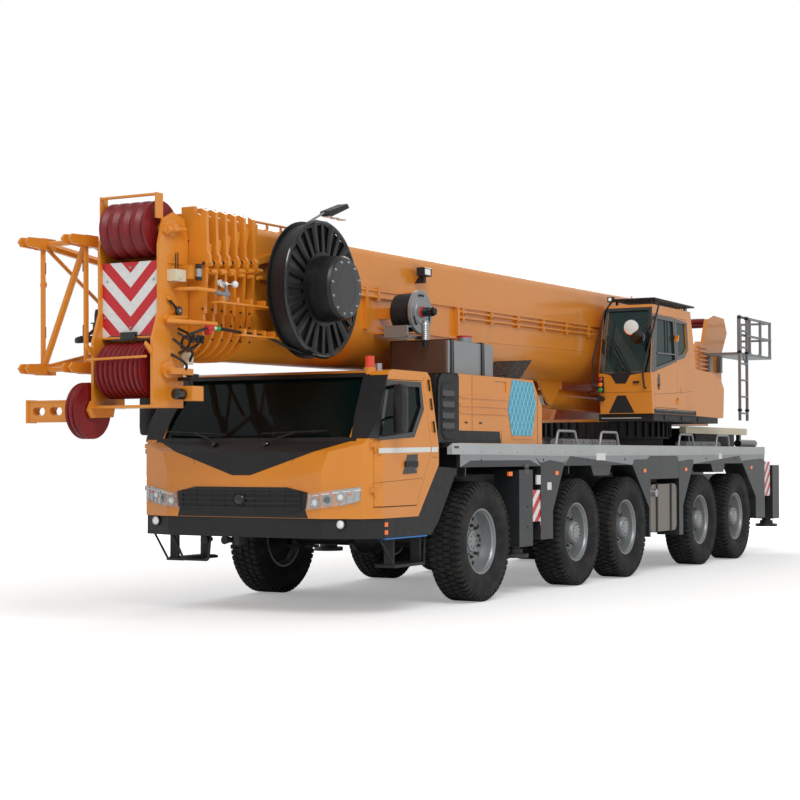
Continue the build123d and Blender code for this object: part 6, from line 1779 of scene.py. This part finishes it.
class CRANE_OT_studio(CraneOperator):
    """Makes the pale floor, the soft lights and the camera at the photograph's angle"""

    bl_idname = "crane.studio"
    bl_label = "Studio"

    def make(self):
        self.floor()
        self.lights()
        self.camera()

    def floor(self):
        """White floor that shows as white and still takes the crane's shadow."""
        form = Form("studio_floor")
        form.materials = [self.backdrop()]
        form.loft([[(-90, -90, 0), (90, -90, 0)], [(-90, 90, 0), (90, 90, 0)]], closed=False)
        bmesh.ops.recalc_face_normals(form.mesh, faces=form.mesh.faces[:])
        data = bpy.data.meshes.new("studio_floor")
        form.mesh.to_mesh(data)
        form.mesh.free()
        data.materials.append(form.materials[0])
        floor = bpy.data.objects.new("studio_floor", data)
        bpy.context.scene.collection.objects.link(floor)
        floor.location.z = -0.002

    def backdrop(self):
        """Pale floor that adds white for the camera alone, more of it far from the crane."""
        finish = Finish("pale_floor", (0.86, 0.86, 0.86), 0.9)
        x, y = axis_of(finish, "X"), axis_of(finish, "Y")
        reach = (x * x + y * y) ** 0.5
        seen = finish.add("LightPath", output=0)
        share = seen * (((reach - 9) / 9).held() * 0.8 + 0.3)
        finish.set(**{"Emission Color": finish.mix(share.held(), (0, 0, 0, 1), (1, 1, 1, 1)),
                      "Emission Strength": 1.0})
        return finish.material

    def lights(self):
        world = bpy.data.worlds.new("studio_world")
        bpy.context.scene.world = world
        world.use_nodes = True
        tree = world.node_tree
        background = tree.nodes["Background"]
        path = tree.nodes.new("ShaderNodeLightPath")
        add = tree.nodes.new("ShaderNodeMath")
        add.operation = "MAXIMUM"
        tree.links.new(path.outputs["Is Camera Ray"], add.inputs[0])
        tree.links.new(path.outputs["Is Transmission Ray"], add.inputs[1])
        strength = tree.nodes.new("ShaderNodeMapRange")
        tree.links.new(add.outputs[0], strength.inputs["Value"])
        strength.inputs["To Min"].default_value = 0.62
        strength.inputs["To Max"].default_value = 1.0
        background.inputs["Color"].default_value = (1, 1, 1, 1)
        tree.links.new(strength.outputs[0], background.inputs["Strength"])
        self.lamp("key_light", (18, 14, 20), 12.0, 3000)
        self.lamp("rear_light", (-22, -10, 16), 12.0, 1500)

    def lamp(self, name, place, size, power):
        data = bpy.data.lights.new(name, "AREA")
        data.energy = power
        data.size = size
        lamp = bpy.data.objects.new(name, data)
        lamp.location = place
        aim = Vector((0, 0, 1.5)) - Vector(place)
        lamp.rotation_euler = aim.to_track_quat("-Z", "Y").to_euler()
        bpy.context.scene.collection.objects.link(lamp)

    def camera(self):
        """Camera at the photograph's place: a long lens near the left front corner."""
        data = bpy.data.cameras.new("camera")
        data.sensor_width = 36.0
        data.lens = 76.2341
        data.clip_end = 500
        camera = bpy.data.objects.new("camera", data)
        yaw, pitch, roll = (math.radians(angle) for angle in (29.2507, 1.8733, -0.0687))
        ahead = Vector((-math.cos(yaw) * math.cos(pitch), -math.sin(yaw) * math.cos(pitch), math.sin(pitch)))
        turn = ahead.to_track_quat("-Z", "Y") @ Matrix.Rotation(roll, 3, "Z").to_quaternion()
        camera.rotation_mode = "QUATERNION"
        camera.rotation_quaternion = turn
        camera.location = (16.872 + AXLE, 9.863, 1.619)
        bpy.context.scene.collection.objects.link(camera)
        bpy.context.scene.camera = camera


class CRANE_PT_panel(bpy.types.Panel):
    """Lists the crane's colours, sizes and pieces"""

    bl_label = "Crane"
    bl_idname = "CRANE_PT_panel"
    bl_space_type = "VIEW_3D"
    bl_region_type = "UI"
    bl_category = "Crane"

    def draw(self, context):
        for group in (context.scene.crane_colours, context.scene.crane_sizes):
            for key in group.__annotations__:
                self.layout.prop(group, key)
        for operator in OPERATORS:
            self.layout.operator(operator.bl_idname)


OPERATORS = [CRANE_OT_finishes, CRANE_OT_wheels, CRANE_OT_cab_front, CRANE_OT_cab_sides, CRANE_OT_hood,
             CRANE_OT_head, CRANE_OT_collars, CRANE_OT_reels, CRANE_OT_operator_cab, CRANE_OT_jib,
             CRANE_OT_deck, CRANE_OT_studio]
CLASSES = [CraneColours, CraneSizes, *OPERATORS, CRANE_PT_panel]


def register():
    for one in CLASSES:
        bpy.utils.register_class(one)
    bpy.types.Scene.crane_colours = bpy.props.PointerProperty(type=CraneColours)
    bpy.types.Scene.crane_sizes = bpy.props.PointerProperty(type=CraneSizes)


def unregister():
    del bpy.types.Scene.crane_sizes
    del bpy.types.Scene.crane_colours
    for one in reversed(CLASSES):
        bpy.utils.unregister_class(one)


def main():
    """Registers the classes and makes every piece."""
    register()
    bpy.context.scene.view_settings.view_transform = "Standard"
    for operator in OPERATORS:
        group, name = operator.bl_idname.split(".")
        getattr(getattr(bpy.ops, group), name)()


if __name__ == "__main__":
    main()
